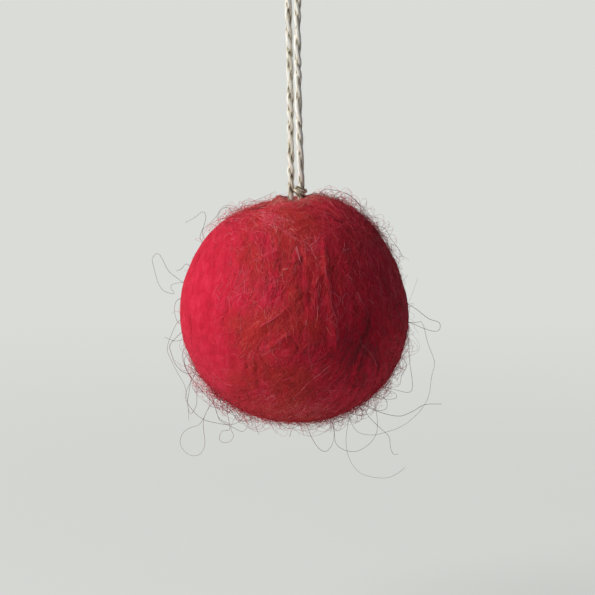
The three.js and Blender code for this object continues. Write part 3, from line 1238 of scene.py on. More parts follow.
                # The bundles' own shades are mixed round the ply, so that no side of it is the dark one.
                order = (bundle * self.bundle_stride + ply * self.ply_stride) % self.bundles
                own = order / (self.bundles - 1)
                tints.append(self.bundle_shade * own + groove + drift - shade_and_stain)
        runs = np.tile(share, (len(bundles), 1))
        strands.sweep(np.array(bundles), np.array(radii), self.ply_sides, np.array(tints), runs)
        core = np.tile(self.core_share * radius * plump, (2, 1))
        core_tints = np.array(self.core_tints)[:, None] - shade_and_stain
        strands.sweep(np.array(plies), core, self.ply_sides, core_tints, runs[:2])

    def add_hairs(self, strands: Strands, line: Array, run: Array, seed: int) -> None:
        """Let short broken fibres stand out of the twine.

        Args:
            strands: Gathers the hairs.
            line: Centre line of the twine (points, 3).
            run: Distance along the whole twine at each point.
            seed: Seed of this piece's hairs.
        """
        hair = self.hair
        draw = np.random.default_rng(self.seed + seed)
        count = int((run.max() - run.min()) * hair.per_mm)
        place = draw.integers(1, len(line) - 2, count)
        along = unit(line[place + 1] - line[place - 1]) * draw.choice([-1.0, 1.0], (count, 1))
        outward = squared(draw.normal(size=(count, 3)), along)
        bend = np.cross(along, outward) * draw.normal(0, hair.bend, (count, 1))
        length = draw.gamma(hair.length_shape, hair.length_scale, (count, 1)).clip(*hair.lengths)
        share = np.linspace(0, 1, hair.points)
        lines = np.stack(
            [
                line[place]
                + outward * (hair.root + hair.rise * length * s)
                + along * length * (hair.reach * s - hair.droop * s * s)
                + bend * length * s * s
                for s in share
            ],
            axis=1,
        )
        radii = draw.uniform(*hair.radii, (count, 1)) * (1 - hair.taper * share)
        runs = np.tile((run[place] / self.run[-1])[:, None], (1, hair.points))
        strands.sweep(lines, radii, hair.sides, draw.uniform(*hair.tints, count), runs)

    def build_stretch(self, name: str, numbers: Array, seed: int) -> Piece:
        """Build the twine between two places on the loop.

        Args:
            name: Name of the piece.
            numbers: Point numbers of the stretch.
            seed: Seed of its hairs.

        Returns:
            The new piece.
        """
        strands = Strands()
        line, run = self.line[numbers], self.run[numbers]
        self.lay_plies(strands, line, run)
        self.add_hairs(strands, line, run, seed)
        return strands.to_object(name)

    def build_bight(self) -> Piece:
        """Build the bight that bears on the hook, down to where its sides begin to close.

        Returns:
            The new piece.
        """
        left = self.stretch(Side.LEFT, -self.eye_radius, self.bight_end)
        right = self.stretch(Side.RIGHT, -self.eye_radius, self.bight_end)
        numbers = np.arange(left[0], right[-1] + 1)
        piece = self.build_stretch("hanging_bight", numbers, Draws.BIGHT.value)
        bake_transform(piece)
        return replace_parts(piece, "twine_eye")

    def build_neck(self, side: Side) -> Piece:
        """Build one side of the loop where its two strands close in on each other.

        Args:
            side: Which side of the loop.

        Returns:
            The new piece.
        """
        label = side.name.lower()
        numbers = self.stretch(side, self.bight_end, self.neck_end)
        piece = self.build_stretch(label + "_neck_twine", numbers, Draws.NECK.value + side.value)
        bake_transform(piece)
        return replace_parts(piece, "twine_" + label + "_neck")

    def build_leg(self, side: Side) -> Piece:
        """Build one long strand between the neck and the knot.

        Args:
            side: Which side of the loop.

        Returns:
            The new piece.
        """
        label = side.name.lower()
        numbers = self.stretch(side, self.neck_end, self.leg_end)
        piece = self.build_stretch(label + "_leg_twine", numbers, Draws.LEG.value + side.value)
        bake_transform(piece)
        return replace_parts(piece, "twine_" + label + "_leg")

    def declare_leg(self, side: Side) -> None:
        """Work out the path of one leg, from the knot up into the loop; nothing is done with it.

        Args:
            side: Which side of the loop.
        """
        numbers = self.stretch(side, self.neck_end, self.leg_end)
        path = self.line[numbers] * MM
        if side is Side.RIGHT:
            path = path[::-1]

    def build_knot(self) -> Piece:
        """Build the knot that draws both strands together on top of the felt.

        Returns:
            The new piece.
        """
        strands = Strands()
        bottom = self.route[-1].drop
        for number, side in enumerate(Side):
            numbers = self.stretch(side, self.leg_end, bottom)
            line, run = self.line[numbers], self.run[numbers]
            # Painted shade, with some stain, darkens each strand towards the felt.
            shade_and_stain = self.strand_shade_and_stain * np.linspace(0, 1, len(numbers))
            if side is Side.LEFT:
                shade_and_stain = shade_and_stain[::-1]
            self.lay_plies(strands, line, run, 1.0, shade_and_stain)
            self.add_hairs(strands, line, run, Draws.KNOT_STRANDS.value + number)
        low, high = (np.array(corner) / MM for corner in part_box("base_knot"))
        middle = (low + high) / 2
        # Each turn of the knot gets its own painted shade, with some stain.
        for number, (shade_and_stain, course) in enumerate(self.knot_turns):
            wrap = smooth_line(middle + np.array(course), self.wrap_step)
            run = travelled(wrap) + self.wrap_start
            self.lay_plies(strands, wrap, run, self.knot_girth, np.full(len(wrap), shade_and_stain))
            self.add_hairs(strands, wrap, run, Draws.KNOT_TURNS.value + number)
        piece = strands.to_object("tied_knot")
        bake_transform(piece)
        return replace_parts(piece, "base_knot")

    def build_stitch(self) -> Piece:
        """Build the twine that the needle drew through the felt below the knot.

        Returns:
            The new piece.
        """
        start = self.route[-1]
        first = (self.thickness + start.gap) / 2
        share = np.linspace(0, 1, self.bend_points)
        half = first + (self.stitch_spread - first) * eased(share)
        drop = start.drop + (self.stitch_bend_drop - start.drop) * share
        down = np.stack([start.middle - half, 0 * half, -drop], axis=1)
        up = np.stack([start.middle + half, 0 * half, -drop], axis=1)[::-1]
        turn = np.linspace(math.pi, TURN, self.bend_points)[1:-1]
        bend = np.stack([np.cos(turn), 0 * turn, np.sin(turn)], axis=1) * self.stitch_spread
        bend += np.array([start.middle, 0.0, -self.stitch_bend_drop])
        line = smooth_line(np.vstack([down, bend, up]), self.step)
        strands = Strands()
        self.lay_plies(strands, line, travelled(line))
        piece = strands.to_object("buried_stitch")
        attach(piece, "ball")
        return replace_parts(piece, "twine_stitch")

    def build(self) -> list[Piece]:
        """Returns:
            The pieces of the loop.
        """
        bight = self.build_bight()
        necks = {side: self.build_neck(side) for side in Side}
        legs = {side: self.build_leg(side) for side in Side}
        self.declare_leg(Side.LEFT)
        self.declare_leg(Side.RIGHT)
        pieces = [bight, *necks.values(), *legs.values(), self.build_knot(), self.build_stitch()]
        hemp = HempTwine().material(self.run[-1])
        for piece in pieces:
            piece.data.materials.append(hemp)
        return pieces


@dataclass(frozen=True)
class Wrap:
    """One band of wool wrapped on the ball: the axis it was wound about, and where it shows."""

    axis: Triple
    centre: Triple
    spread: float


@dataclass(frozen=True)
class Teased:
    """A place where the wool stands out of the skin.

    It has a direction and a spread, its fibres' number, height and mean shade, how they head from the
    lay, and how far they stray from that heading and curl.
    """

    centre: Triple
    spread: float
    count: int
    lift: float
    shade: float = 0.4
    heading: float = 0.0
    stray: float = 0.9
    curl: float = 0.26


@dataclass(frozen=True)
class Mark:
    """A pit or bump in the skin, like a bell curve.

    It has a direction, the way it is drawn out, a height, a reach and a slimness, and it is cut off a few
    reaches out. At a slimness of 1 it is round.
    """

    place: Array
    drawn: Array
    height: float
    reach: float
    slimness: float = 1.0
    cut: float = 3.0


@dataclass(frozen=True)
class FibreForm:
    """How one kind of fibre is drawn: points, radii, section and, where it is walked, length and lie."""

    steps: int
    radii: Pair
    taper: float = 1.0
    sides: int = 3
    roll: float = 0.5
    lengths: Pair = (1.0, 1.0)
    stray: float = 0.0
    curl: float = 0.0
    least_lift: float = 0.2
    most_lift: float = 0.0

    def thickness(self, draw: Source, count: int) -> Array:
        """Radii of a number of fibres at each of their points."""
        return draw.uniform(*self.radii, (count, 1)) * np.linspace(1, self.taper, self.steps)

    def heights(
        self, draw: Source, count: int, mean: float, share: Array | float = 1.0
    ) -> Array:
        """Greatest heights of a number of fibres over the felt, with a share for those that are held low."""
        return self.least_lift + share * draw.exponential(mean, count).clip(0, self.most_lift)


@dataclass
class FeltBall:
    """The felted ball: a rolled core under a needled skin whose fibres follow the bands it was wrapped in."""

    eye: Viewpoint
    inset: float = 0.30
    net_rows: int = 120
    grid: int = 108
    streak_step: float = 0.34
    streak_steps: int = 7
    streak_cell: float = 0.42
    streak_height: float = 0.035
    streak_edge: float = 0.8
    streak_shade: float = 0.22
    skin_shade: float = 0.5
    lump_cell: float = 5.5
    lump_height: float = 0.10
    fine_lumps: float = 2.3
    fine_share: float = 0.5
    tuft_cell: float = 1.7
    tuft_height: float = 0.10
    swirl: float = 0.5
    swirl_cell: float = 7.0
    pits: int = 110
    pit_radius: float = 0.36
    pit_slimness: float = 0.45
    pit_depth: float = 0.32
    pit_shares: Pair = (0.6, 1.0)
    ridge_height: float = 0.22
    ridge_radius: float = 0.75
    ridge_step: float = 0.6
    seat_depth: float = 1.0
    seat_reach: float = 2.4
    right_shoulder: float = 0.55
    shoulder_width: float = 2.8
    left_peak: float = 1.0
    peak_reach: float = 3.5
    peak_width: float = 1.0
    left_hollow: float = 0.75
    hollow_reach: float = 7.0
    hollow_width: float = 2.4
    rim_reach: float = 4.0
    lean_reach: float = 2.0
    least_fuzz: float = 0.1
    stain_reach: float = 5.0
    stain_cover: float = 0.9
    stain_streak: float = 0.25
    dust_reach: float = 7.5
    dust_pale: float = 0.5
    second_axis: Triple = (0.98, -0.16, 0.0)
    second_width: float = 0.44
    second_cell: float = 6.0
    second_fine_cell: float = 2.2
    second_patchy: float = 0.8
    second_least: float = 0.15
    second_span: float = 0.7
    smooth_edge: float = -0.85
    smooth_width: float = 0.65
    smooth_relief: float = 0.1
    smooth_streak: float = 0.3
    smooth_nap: float = 0.2
    smooth_lift: float = 0.35
    smooth_girth: float = 0.65
    core_inset: float = 0.4
    core_grid: int = 40
    core_cell: float = 6.0
    core_fine_cell: float = 1.8
    core_height: float = 0.25
    bend_kept: float = 0.75
    bend_new: float = 0.5
    root_depth: float = 0.03
    # A wool fibre is about 0.03 mm thick. To show, these are drawn up to three and a half times as thick.
    nap: FibreForm = FibreForm(
        6, (0.022, 0.038), 1.0, 3, 0.40, (1.0, 4.6), stray=0.55, curl=0.2, least_lift=0.025, most_lift=0.3
    )
    halo: FibreForm = FibreForm(12, (0.022, 0.034), 0.7, lengths=(1.5, 3.5), most_lift=3.2)
    hair: FibreForm = FibreForm(14, (0.024, 0.040), roll=0.3)
    entry: FibreForm = FibreForm(10, (0.020, 0.032), lengths=(1.0, 3.4), stray=1.5, curl=0.3, most_lift=2.4)
    flyaway: FibreForm = FibreForm(36, (0.04, 0.052), 0.75, sides=4)
    nap_pieces: int = 5
    nap_per_piece: int = 5400
    nap_pool: int = 4
    nap_lift: float = 0.04
    nap_shade: float = 0.50
    nap_mottle: float = 0.11
    halo_stretch: float = 6.0
    halo_alike: float = 7.0
    halo_kinds: tuple[tuple[Lift, float], ...] = ((Lift.ARCHED, 0.65), (Lift.FREE, 0.35))
    hair_step: float = 0.2
    hair_ends: float = 0.2
    hair_wave: float = 0.08
    hair_wave_turn: float = 3.0
    hair_mottle: float = 0.06
    hair_lifts: Pair = (0.05, 0.16)
    lock_spread: float = 0.09
    entry_count: int = 520
    entry_near: float = 1.8
    entry_far: float = 9.0
    entry_fall: float = 2.0
    entry_wide: float = 1.2
    entry_lift: float = 0.6
    entry_front: float = 0.6
    front_share: float = 0.2
    left_share: float = 0.4
    entry_shades: Pair = (3.0, 2.4)
    fibres_per_route: int = 6
    route_apart: float = 4.0
    route_stray: float = 1.5
    route_heights: Pair = (0.55, 1.1)
    flyaway_step: float = 0.25
    flyaway_bow: float = 1.5
    flyaway_shades: Pair = (1.5, 4.0)
    seed: int = 29
    haze: Teased = Teased((0.25, 0.0, 0.0), 1.0, 160, 0.12, 0.72, 0.0, 0.45, 0.12)
    # Along the lower rim the tangles are paler on the lit left and darker towards the right: painted light,
    # for the light that comes through the thin fibres.
    teased: tuple[Teased, ...] = (
        Teased((-0.70, 0.0, -0.72), 0.20, 320, 1.1, 0.44, math.pi / 2, 0.7),
        Teased((-0.25, 0.0, -0.97), 0.20, 260, 0.9, 0.42, math.pi / 2, 0.7),
        Teased((0.35, 0.0, -0.94), 0.20, 260, 0.9, 0.38, math.pi / 2, 0.7),
        Teased((0.80, 0.0, -0.60), 0.22, 260, 1.0, 0.36, math.pi / 2, 0.7),
        Teased((0.70, 0.0, 0.71), 0.18, 260, 0.8, 0.34, math.pi / 2, 0.5),
        Teased((0.36, 0.08, 0.93), 0.12, 150, 1.0, 0.6, math.pi / 2, 0.8, 0.34),
        Teased((-0.42, 0.0, 0.90), 0.16, 200, 0.9, 0.72, math.pi / 2, 0.8, 0.34),
        Teased((-0.3, 0.9, -0.4), 0.5, 300, 0.9),
        Teased((0.5, 0.8, 0.3), 0.5, 300, 0.9),
        Teased((-0.62, -0.03, -0.78), 0.14, 110, 2.2, 0.2, math.pi / 2, 0.9, 0.3),
        Teased((0.50, -0.03, -0.86), 0.16, 90, 2.0, 0.2, math.pi / 2, 0.9, 0.3),
    )
    wraps: tuple[Wrap, ...] = (
        Wrap((0.97, 0.0, -0.12), (-0.80, -0.58, 0.1), 0.30),
        Wrap((1.0, 0.0, -0.10), (-0.15, -0.98, 0.1), 0.30),
        Wrap((1.0, 0.0, 0.12), (0.3, -0.90, 0.15), 0.25),
        Wrap((0.60, 0.0, -0.80), (-0.25, -0.80, -0.55), 0.16),
        Wrap((0.75, 0.0, -0.65), (0.2, -0.78, -0.6), 0.16),
        Wrap((-0.1, 0.0, -1.0), (0.0, -0.2, -0.98), 0.16),
        Wrap((0.9, 0.2, 0.25), (0.80, -0.58, 0.0), 0.35),
        Wrap((0.15, 0.1, 1.0), (0.0, -0.1, 1.0), 0.14),
        Wrap((0.0, 0.5, 0.9), (-1.0, 0.1, 0.0), 0.10),
        Wrap((0.0, -0.3, 0.9), (1.0, 0.1, 0.1), 0.10),
        Wrap((0.6, 0.3, 0.75), (0.5, 0.85, 0.2), 0.50),
        Wrap((0.8, -0.2, -0.5), (-0.7, 0.7, -0.2), 0.50),
    )
    centre: Array = field(init=False)
    net: Array = field(init=False)
    mean_radius: float = field(init=False)
    knot: Array = field(init=False)
    marks: list[Mark] = field(init=False)
    patches: Array = field(init=False)

    def __post_init__(self) -> None:
        """Read the ball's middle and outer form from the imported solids, and choose where its marks lie."""
        low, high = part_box("wool_core")
        self.centre = np.array((low + high) / 2) / MM
        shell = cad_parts["felt_shell"].data
        corners = np.array([v.co for v in shell.vertices]) / MM - self.centre
        tree = BVHTree.FromPolygons(corners.tolist(), [tuple(p.vertices) for p in shell.polygons])
        # Rays go in from well outside the shell.
        far = 2 * np.abs(corners).max()
        polar = np.linspace(0, math.pi, self.net_rows + 1)
        azimuth = np.arange(2 * self.net_rows) * TURN / (2 * self.net_rows)
        self.net = np.empty((len(polar), len(azimuth)))
        for row, column in np.ndindex(self.net.shape):
            ring = math.sin(polar[row])
            turn = azimuth[column]
            ray = Vector((ring * math.cos(turn), ring * math.sin(turn), math.cos(polar[row])))
            hit = tree.ray_cast(ray * far, -ray)[0]
            self.net[row, column] = hit.length
        self.mean_radius = float(np.median(self.net))
        low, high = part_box("base_knot")
        self.knot = unit(np.array((low + high) / 2) / MM - self.centre)
        self.seat_knot(polar, azimuth)
        self.mark_face()

    def seen_at(self, pixels: tuple[Pair, ...]) -> Array:
        """Directions, from the ball's middle, of the places on its face that pixels show."""
        return np.array([self.eye.on_ball(pixel, self.mean_radius) for pixel in pixels])

    def mark_face(self) -> None:
        """Choose where the pits, ridges and patches lie."""
        draw = np.random.default_rng(self.seed)
        others = unit(draw.normal(size=(self.pits, 3)))
        places = np.vstack([self.seen_at(FACE_PITS), others[others[:, 1] > 0]])
        depths = self.pit_depth * draw.uniform(*self.pit_shares, len(places))
        form = (self.pit_radius, self.pit_slimness)
        self.marks = [Mark(p, along, -d, *form) for p, along, d in zip(places, self.lay(places), depths)]
        # Round bumps this close together add up to an even ridge.
        bump = self.ridge_height * self.ridge_step / (math.sqrt(math.pi) * self.ridge_radius)
        for ridge in FACE_RIDGES:
            crest = unit(smooth_line(self.seen_at(ridge) * self.mean_radius, self.ridge_step))
            self.marks += [Mark(place, place, bump, self.ridge_radius) for place in crest]
        self.patches = self.seen_at(tuple(patch.middle for patch in FACE_TONE_AND_LIGHT_PATCHES))

    def tone_and_light_change(self, directions: Array) -> Array:
        """How much lighter, or darker below 0, the face's patches of wool tone and of painted light and shade
        make the wool at places on the ball.

        Args:
            directions: Unit vectors (count, 3).

        Returns:
            Changes of shade.
        """
        total = np.zeros(len(directions))
        for middle, patch in zip(self.patches, FACE_TONE_AND_LIGHT_PATCHES):
            reach = patch.reach / self.eye.pixels_per_mm / self.mean_radius
            apart = 2 * (1 - directions @ middle)
            total += patch.change * np.exp(-apart / reach**2)
        return total

    def seat_knot(self, polar: Array, azimuth: Array) -> None:
        """Sink the knot's soft seat into the top of the net, between a low shoulder and a small peak of felt.

        Args:
            polar: Angle of each row of the net from straight up.
            azimuth: Angle of each column round the ball from +X.
        """
        away = polar * self.mean_radius
        edge = int(np.searchsorted(away, self.rim_reach))
        rim = self.net[edge]
        for row in range(edge):
            dip = self.seat_depth * math.exp(-((away[row] / self.seat_reach) ** 2))
            self.net[row] = rim.mean() + (rim - rim.mean()) * row / edge - dip
        right = np.maximum(np.cos(azimuth), 0) ** 2
        left = np.maximum(-np.cos(azimuth), 0) ** 2
        shoulder = self.right_shoulder * fall_off(away - self.rim_reach, self.shoulder_width)
        peak = self.left_peak * fall_off(away - self.peak_reach, self.peak_width)
        hollow = self.left_hollow * fall_off(away - self.hollow_reach, self.hollow_width)
        self.net += shoulder[:, None] * right + (peak - hollow)[:, None] * left

    def from_knot(self, directions: Array) -> Array:
        """Distance over the felt from the knot, in millimetres."""
        return np.arccos((directions @ self.knot).clip(-1, 1)) * self.mean_radius

    def clear_of_knot(self, walked: Array) -> Array:
        """Share of its height that each fibre keeps: little by the knot, so that the twine can lean over."""
        nearest = self.from_knot(walked.reshape(-1, 3)).reshape(walked.shape[:2]).min(1)
        return ((nearest - self.lean_reach) / (2 * self.lean_reach)).clip(self.least_fuzz, 1.0)

    def second_wool(self, directions: Array) -> Array:
        """Share of the second wool at places on the ball: a band over the front, patchy at its edges.

        Args:
            directions: Unit vectors (count, 3).

        Returns:
            Shares from 0 to 1.
        """
        across = directions @ unit(np.array(self.second_axis))
        band = fall_off(across, self.second_width)
        places = directions * self.mean_radius
        patches = lattice_noise(places, self.second_cell, Pattern.SECOND_WOOL)
        fine = lattice_noise(places, self.second_fine_cell, Pattern.FINE_SECOND_WOOL)
        patches = patches + self.second_patchy * fine
        cover = band * (self.second_patchy + self.second_patchy * patches)
        return ((cover - self.second_least) / self.second_span).clip(0, 1)

    def radius(self, directions: Array) -> Array:
        """Outer radius of the felt along unit directions, between the readings of the net.

        Args:
            directions: Unit vectors (count, 3).

        Returns:
            Radii in millimetres.
        """
        rows = np.arccos(directions[:, 2].clip(-1, 1)) / math.pi * self.net_rows
        columns = np.arctan2(directions[:, 1], directions[:, 0]) / TURN % 1.0 * self.net.shape[1]
        row = rows.astype(int).clip(0, self.net_rows - 1)
        column = columns.astype(int) % self.net.shape[1]
        after = (column + 1) % self.net.shape[1]
        down, over = rows - row, columns - np.floor(columns)
        upper = self.net[row, column] * (1 - over) + self.net[row, after] * over
        lower = self.net[row + 1, column] * (1 - over) + self.net[row + 1, after] * over
        return upper * (1 - down) + lower * down - self.inset

    def looseness(self, directions: Array) -> Array:
        """How loose the felt is, from 0 where it was needled smooth to 1 where its fibres stand up."""
        share = ((directions[:, 0] - self.smooth_edge) / self.smooth_width).clip(0, 1)
        return eased(share)

    def surface(self, directions: Array) -> Array:
        """Radius of the skin with its soft lumps, tufts and needle pits, on which the fibres lie.

        Args:
            directions: Unit vectors (count, 3).

        Returns:
            Radii in millimetres.
        """
        places = directions * self.mean_radius
        lumps = lattice_noise(places, self.lump_cell, Pattern.LUMP)
        fine = lattice_noise(places, self.lump_cell / self.fine_lumps, Pattern.FINE_LUMP)
        lumps = lumps + self.fine_share * fine
        tufts = self.looseness(directions) * lattice_noise(places, self.tuft_cell, Pattern.TUFT)
        radius = self.radius(directions) + self.lump_height * lumps + self.tuft_height * tufts
        for mark in self.marks:
            widest = (mark.cut * mark.reach / mark.slimness / self.mean_radius) ** 2
            near = np.flatnonzero(2 * (1 - directions @ mark.place) < widest)
            away = (directions[near] - mark.place) * self.mean_radius
            apart = (away * away).sum(1) - (1 - mark.slimness**2) * (away @ mark.drawn) ** 2
            radius[near] += mark.height * np.exp(-apart / mark.reach**2)
        return radius

    def lay(self, directions: Array) -> Array:
        """Direction in which the wool lies at places on the ball.

        Args:
            directions: Unit vectors (count, 3).

        Returns:
            Unit vectors along the surface.
        """
        total = np.zeros_like(directions)
        for wrap in self.wraps:
            near = directions @ unit(np.array(wrap.centre))
            weight = np.exp((near - 1) / wrap.spread)
            total += weight[:, None] * np.cross(np.array(wrap.axis), directions)
        ahead = unit(total)
        places = directions * self.mean_radius
        swirl = self.swirl * lattice_noise(places, self.swirl_cell, Pattern.SWIRL)[:, None]
        return unit(turned(ahead, np.cross(directions, ahead), swirl))

    def streaks(self, directions: Array) -> Array:
        """Fine noise drawn out along the lay of the wool.

        Args:
            directions: Unit vectors (count, 3).

        Returns:
            Values of mean 0 and standard deviation 1.
        """
        total = lattice_noise(directions * self.mean_radius, self.streak_cell, Pattern.STREAK)
        for sign in (-1, 1):
            walker = directions
            for _ in range(self.streak_steps):
                walker = unit(walker + sign * self.streak_step / self.mean_radius * self.lay(walker))
                total = total + lattice_noise(walker * self.mean_radius, self.streak_cell, Pattern.STREAK)
        return (total - total.mean()) / total.std()

    def net_of_squares(self, count: int) -> tuple[Array, list[list[int]]]:
        """A cube's faces, cut into squares and blown up to a unit ball.

        Args:
            count: Squares along each edge of the cube.

        Returns:
            Unit vectors, and the corner numbers of each square.
        """
        edge = np.tan(np.linspace(-1, 1, count + 1) * math.pi / 4)
        across, up = np.meshgrid(edge, edge, indexing="ij")
        ones = np.ones_like(across)
        number = np.arange(across.size).reshape(across.shape)
        square = [number[:-1, :-1], number[1:, :-1], number[1:, 1:], number[:-1, 1:]]
        square = np.stack(square, axis=-1).reshape(-1, 4)
        corners, squares = [], []
        for axis in range(3):
            for sign in (-1, 1):
                faces = [ones * sign, across * sign, up]
                face = np.stack([faces[(i - axis) % 3] for i in range(3)], axis=-1)
                corners.append(face.reshape(-1, 3))
                squares.append(square + len(squares) * across.size)
        every = np.round(unit(np.concatenate(corners)), MERGE_DIGITS)
        merged, where = np.unique(every, axis=0, return_inverse=True)
        return unit(merged), where.reshape(-1)[np.concatenate(squares)].tolist()

    def build_skin(self) -> Piece:
        """Build the needled skin, with its streaks of wool, soft lumps and needle pits.

        Returns:
            The new piece.
        """
        directions, squares = self.net_of_squares(self.grid)
        streak = self.streaks(directions)
        loose = self.looseness(directions)
        relief = self.streak_height * grown(self.smooth_relief, loose)
        radius = self.surface(directions) + relief * np.tanh(self.streak_edge * streak)
        shade = self.skin_shade + self.streak_shade * streak * grown(self.smooth_streak, loose)
        shade_and_stain = self.stain_cover * fall_off(self.from_knot(directions), self.stain_reach)
        values = {
            # The lay takes the face's patches, with their painted light and shade.
            "lay": shade + self.tone_and_light_change(directions),
            "entry": shade_and_stain * (1 - self.stain_streak + self.stain_streak * np.tanh(streak)),
            "second": self.second_wool(directions),
        }
        piece = mesh_object("felted_skin", self.centre + directions * radius[:, None], squares, values)
        piece.data.materials.append(DyedWoolFelt().material())
        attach(piece, "ball")
        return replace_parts(piece, "felt_shell")

    def build_core(self) -> Piece:
        """Build the tight roll of undyed wool that the skin was felted round.

        Returns:
            The new piece.
        """
        low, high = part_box("wool_core")
        reach = (high.z - low.z) / 2 / MM - self.core_inset
        directions, squares = self.net_of_squares(self.core_grid)
        rolled = lattice_noise(directions * reach, self.core_cell, Pattern.ROLL)
        fine = lattice_noise(directions * reach, self.core_fine_cell, Pattern.FINE_ROLL)
        radius = reach + self.core_height * (rolled + self.fine_share * fine)
        piece = mesh_object("rolled_core", self.centre + directions * radius[:, None], squares, {})
        piece.data.materials.append(UndyedWool().material())
        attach(piece, "ball")
        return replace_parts(piece, "wool_core")

    def wander(
        self,
        draw: Source,
        starts: Array,
        lengths: Array,
        steps: int,
        stray: float,
        curl: float,
        heading: float = 0.0,
    ) -> Array:
        """Walk fibres over the ball, roughly along the lay of the wool.

        Args:
            draw: Source of random numbers.
            starts: Unit vectors of the first points (count, 3).
            lengths: Fibre lengths in millimetres.
            steps: Points on each fibre.
            stray: Spread of the first heading about the lay, in radians.
            curl: Spread of the turn at each step, in radians.
            heading: Mean angle of the first heading from the lay, in radians.

        Returns:
            Unit vectors (count, steps, 3).
        """
        count = len(starts)
        ahead = self.lay(starts) * draw.choice([-1.0, 1.0], (count, 1))
        turn = heading + draw.normal(0, stray, (count, 1))
        bend = draw.normal(0, curl, (count, 1))
        stride = (lengths / (steps - 1) / self.mean_radius)[:, None]
        walked = [starts]
        for _ in range(steps - 1):
            here = walked[-1]
            ahead = unit(turned(ahead, np.cross(here, ahead), turn))
            there = unit(here + stride * ahead)
            ahead = squared(ahead, there)
            walked.append(there)
            bend = self.bend_kept * bend + draw.normal(0, self.bend_new * curl, (count, 1))
            turn = bend
        return np.stack(walked, axis=1)

    def stand_off(self, walked: Array, lifts: Array, kind: Lift) -> Array:
        """Place walked fibres at their heights over the felt.

        Args:
            walked: Unit vectors (count, steps, 3).
            lifts: The greatest height of each fibre, in millimetres.
            kind: How the fibres stand off.

        Returns:
            Points in millimetres (count, steps, 3).
        """
        count, steps = walked.shape[:2]
        share = np.linspace(0, 1, steps)
        bowed = share if kind is Lift.FREE else np.sin(math.pi * share)
        rise = lifts[:, None] * bowed**kind.value - self.root_depth
        reach = self.surface(walked.reshape(-1, 3)).reshape(count, steps) + rise
        return self.centre + walked * reach[:, :, None]

    def faced(self, draw: Source, lines: Array, roll: float) -> Array:
        """Directions that the flat of each fibre turns to: off the ball, rolled a little to one side.

        Args:
            draw: Source of random numbers.
            lines: Fibres (count, steps, 3).
            roll: Spread of the roll, in radians.

        Returns:
            Vectors (count, steps, 3).
        """
        outward = unit(lines - self.centre)
        along = unit(np.gradient(lines, axis=1))
        angle = draw.normal(0, roll, (len(lines), 1, 1))
        return turned(outward, np.cross(along, outward), angle)

    def tinted(self, draw: Source, starts: Array, shades: Array) -> Array:
        """Tints of fibres from their shades, in the wool that each one grows from.

        Args:
            draw: Source of random numbers.
            starts: Unit vectors of their first points (count, 3).
            shades: Shades from 0, dark, to 1, light.

        Returns:
            Tints, under a half for the first wool and over a half for the second.
        """
        near = fall_off(self.from_knot(starts), self.dust_reach)
        second = draw.uniform(size=len(starts)) < np.maximum(self.second_wool(starts), near)
        return SHADE_SPAN * (shades + self.dust_pale * near * (1 - shades)) + SECOND_WOOL * second

    def build_nap(self, number: int) -> Piece:
        """Build one share of the fibres that lie on the skin.

        Args:
            number: Which share, from 1.

        Returns:
            The new piece.
        """
        form = self.nap
        draw = np.random.default_rng(self.seed + number)
        count = self.nap_per_piece
        pool = unit(draw.normal(size=(self.nap_pool * count, 3)))
        kept = draw.uniform(size=len(pool)) < grown(self.smooth_nap, self.looseness(pool))
        kept &= draw.uniform(size=len(pool)) > fall_off(self.from_knot(pool), self.stain_reach)
        starts = pool[kept][:count]
        loose = self.looseness(starts)
        lengths = draw.uniform(*form.lengths, count)
        walked = self.wander(draw, starts, lengths, form.steps, form.stray, form.curl)
        lifts = form.heights(draw, count, self.nap_lift) * grown(self.smooth_lift, loose)
        lines = self.stand_off(walked, lifts, Lift.LAID)
        radii = form.thickness(draw, count) * grown(self.smooth_girth, loose)[:, None]
        # The nap takes the same patches, with their painted light and shade.
        shades = self.nap_shade + self.nap_mottle * self.streaks(starts) + self.tone_and_light_change(starts)
        shades = shades + draw.normal(0, self.nap_mottle, count)
        tints = self.tinted(draw, starts, shades.clip(0, 1))
        strands = Strands()
        strands.sweep(lines, radii, form.sides, tints, None, self.faced(draw, lines, form.roll))
        return strands.to_object(f"nap_{number}", False)

    def build_halo(self) -> Piece:
        """Build the fuzz that stands off the skin, thin all round and thick where it was teased.

        Returns:
            The new piece.
        """
        form = self.halo
        draw = np.random.default_rng(self.seed + Draws.HALO.value)
        strands = Strands()
        shortest, longest = form.lengths
        for place in (self.haze, *self.teased):
            for kind, share in self.halo_kinds:
                count = int(place.count * share)
                starts = unit(np.array(place.centre) + place.spread * draw.normal(size=(count, 3)))
                lengths = draw.uniform(shortest, longest + self.halo_stretch * place.lift, count)
                lie = (place.stray, place.curl, place.heading)
                walked = self.wander(draw, starts, lengths, form.steps, *lie)
                lifts = form.heights(draw, count, place.lift) * self.clear_of_knot(walked)
                lines = self.stand_off(walked, lifts, kind)
                radii = form.thickness(draw, count)
                light = self.halo_alike * place.shade
                shades = draw.beta(light, self.halo_alike * (1 - place.shade), count)
                tints = self.tinted(draw, starts, shades)
                strands.sweep(lines, radii, form.sides, tints, None, self.faced(draw, lines, form.roll))
        return strands.to_object("halo_fuzz", False)

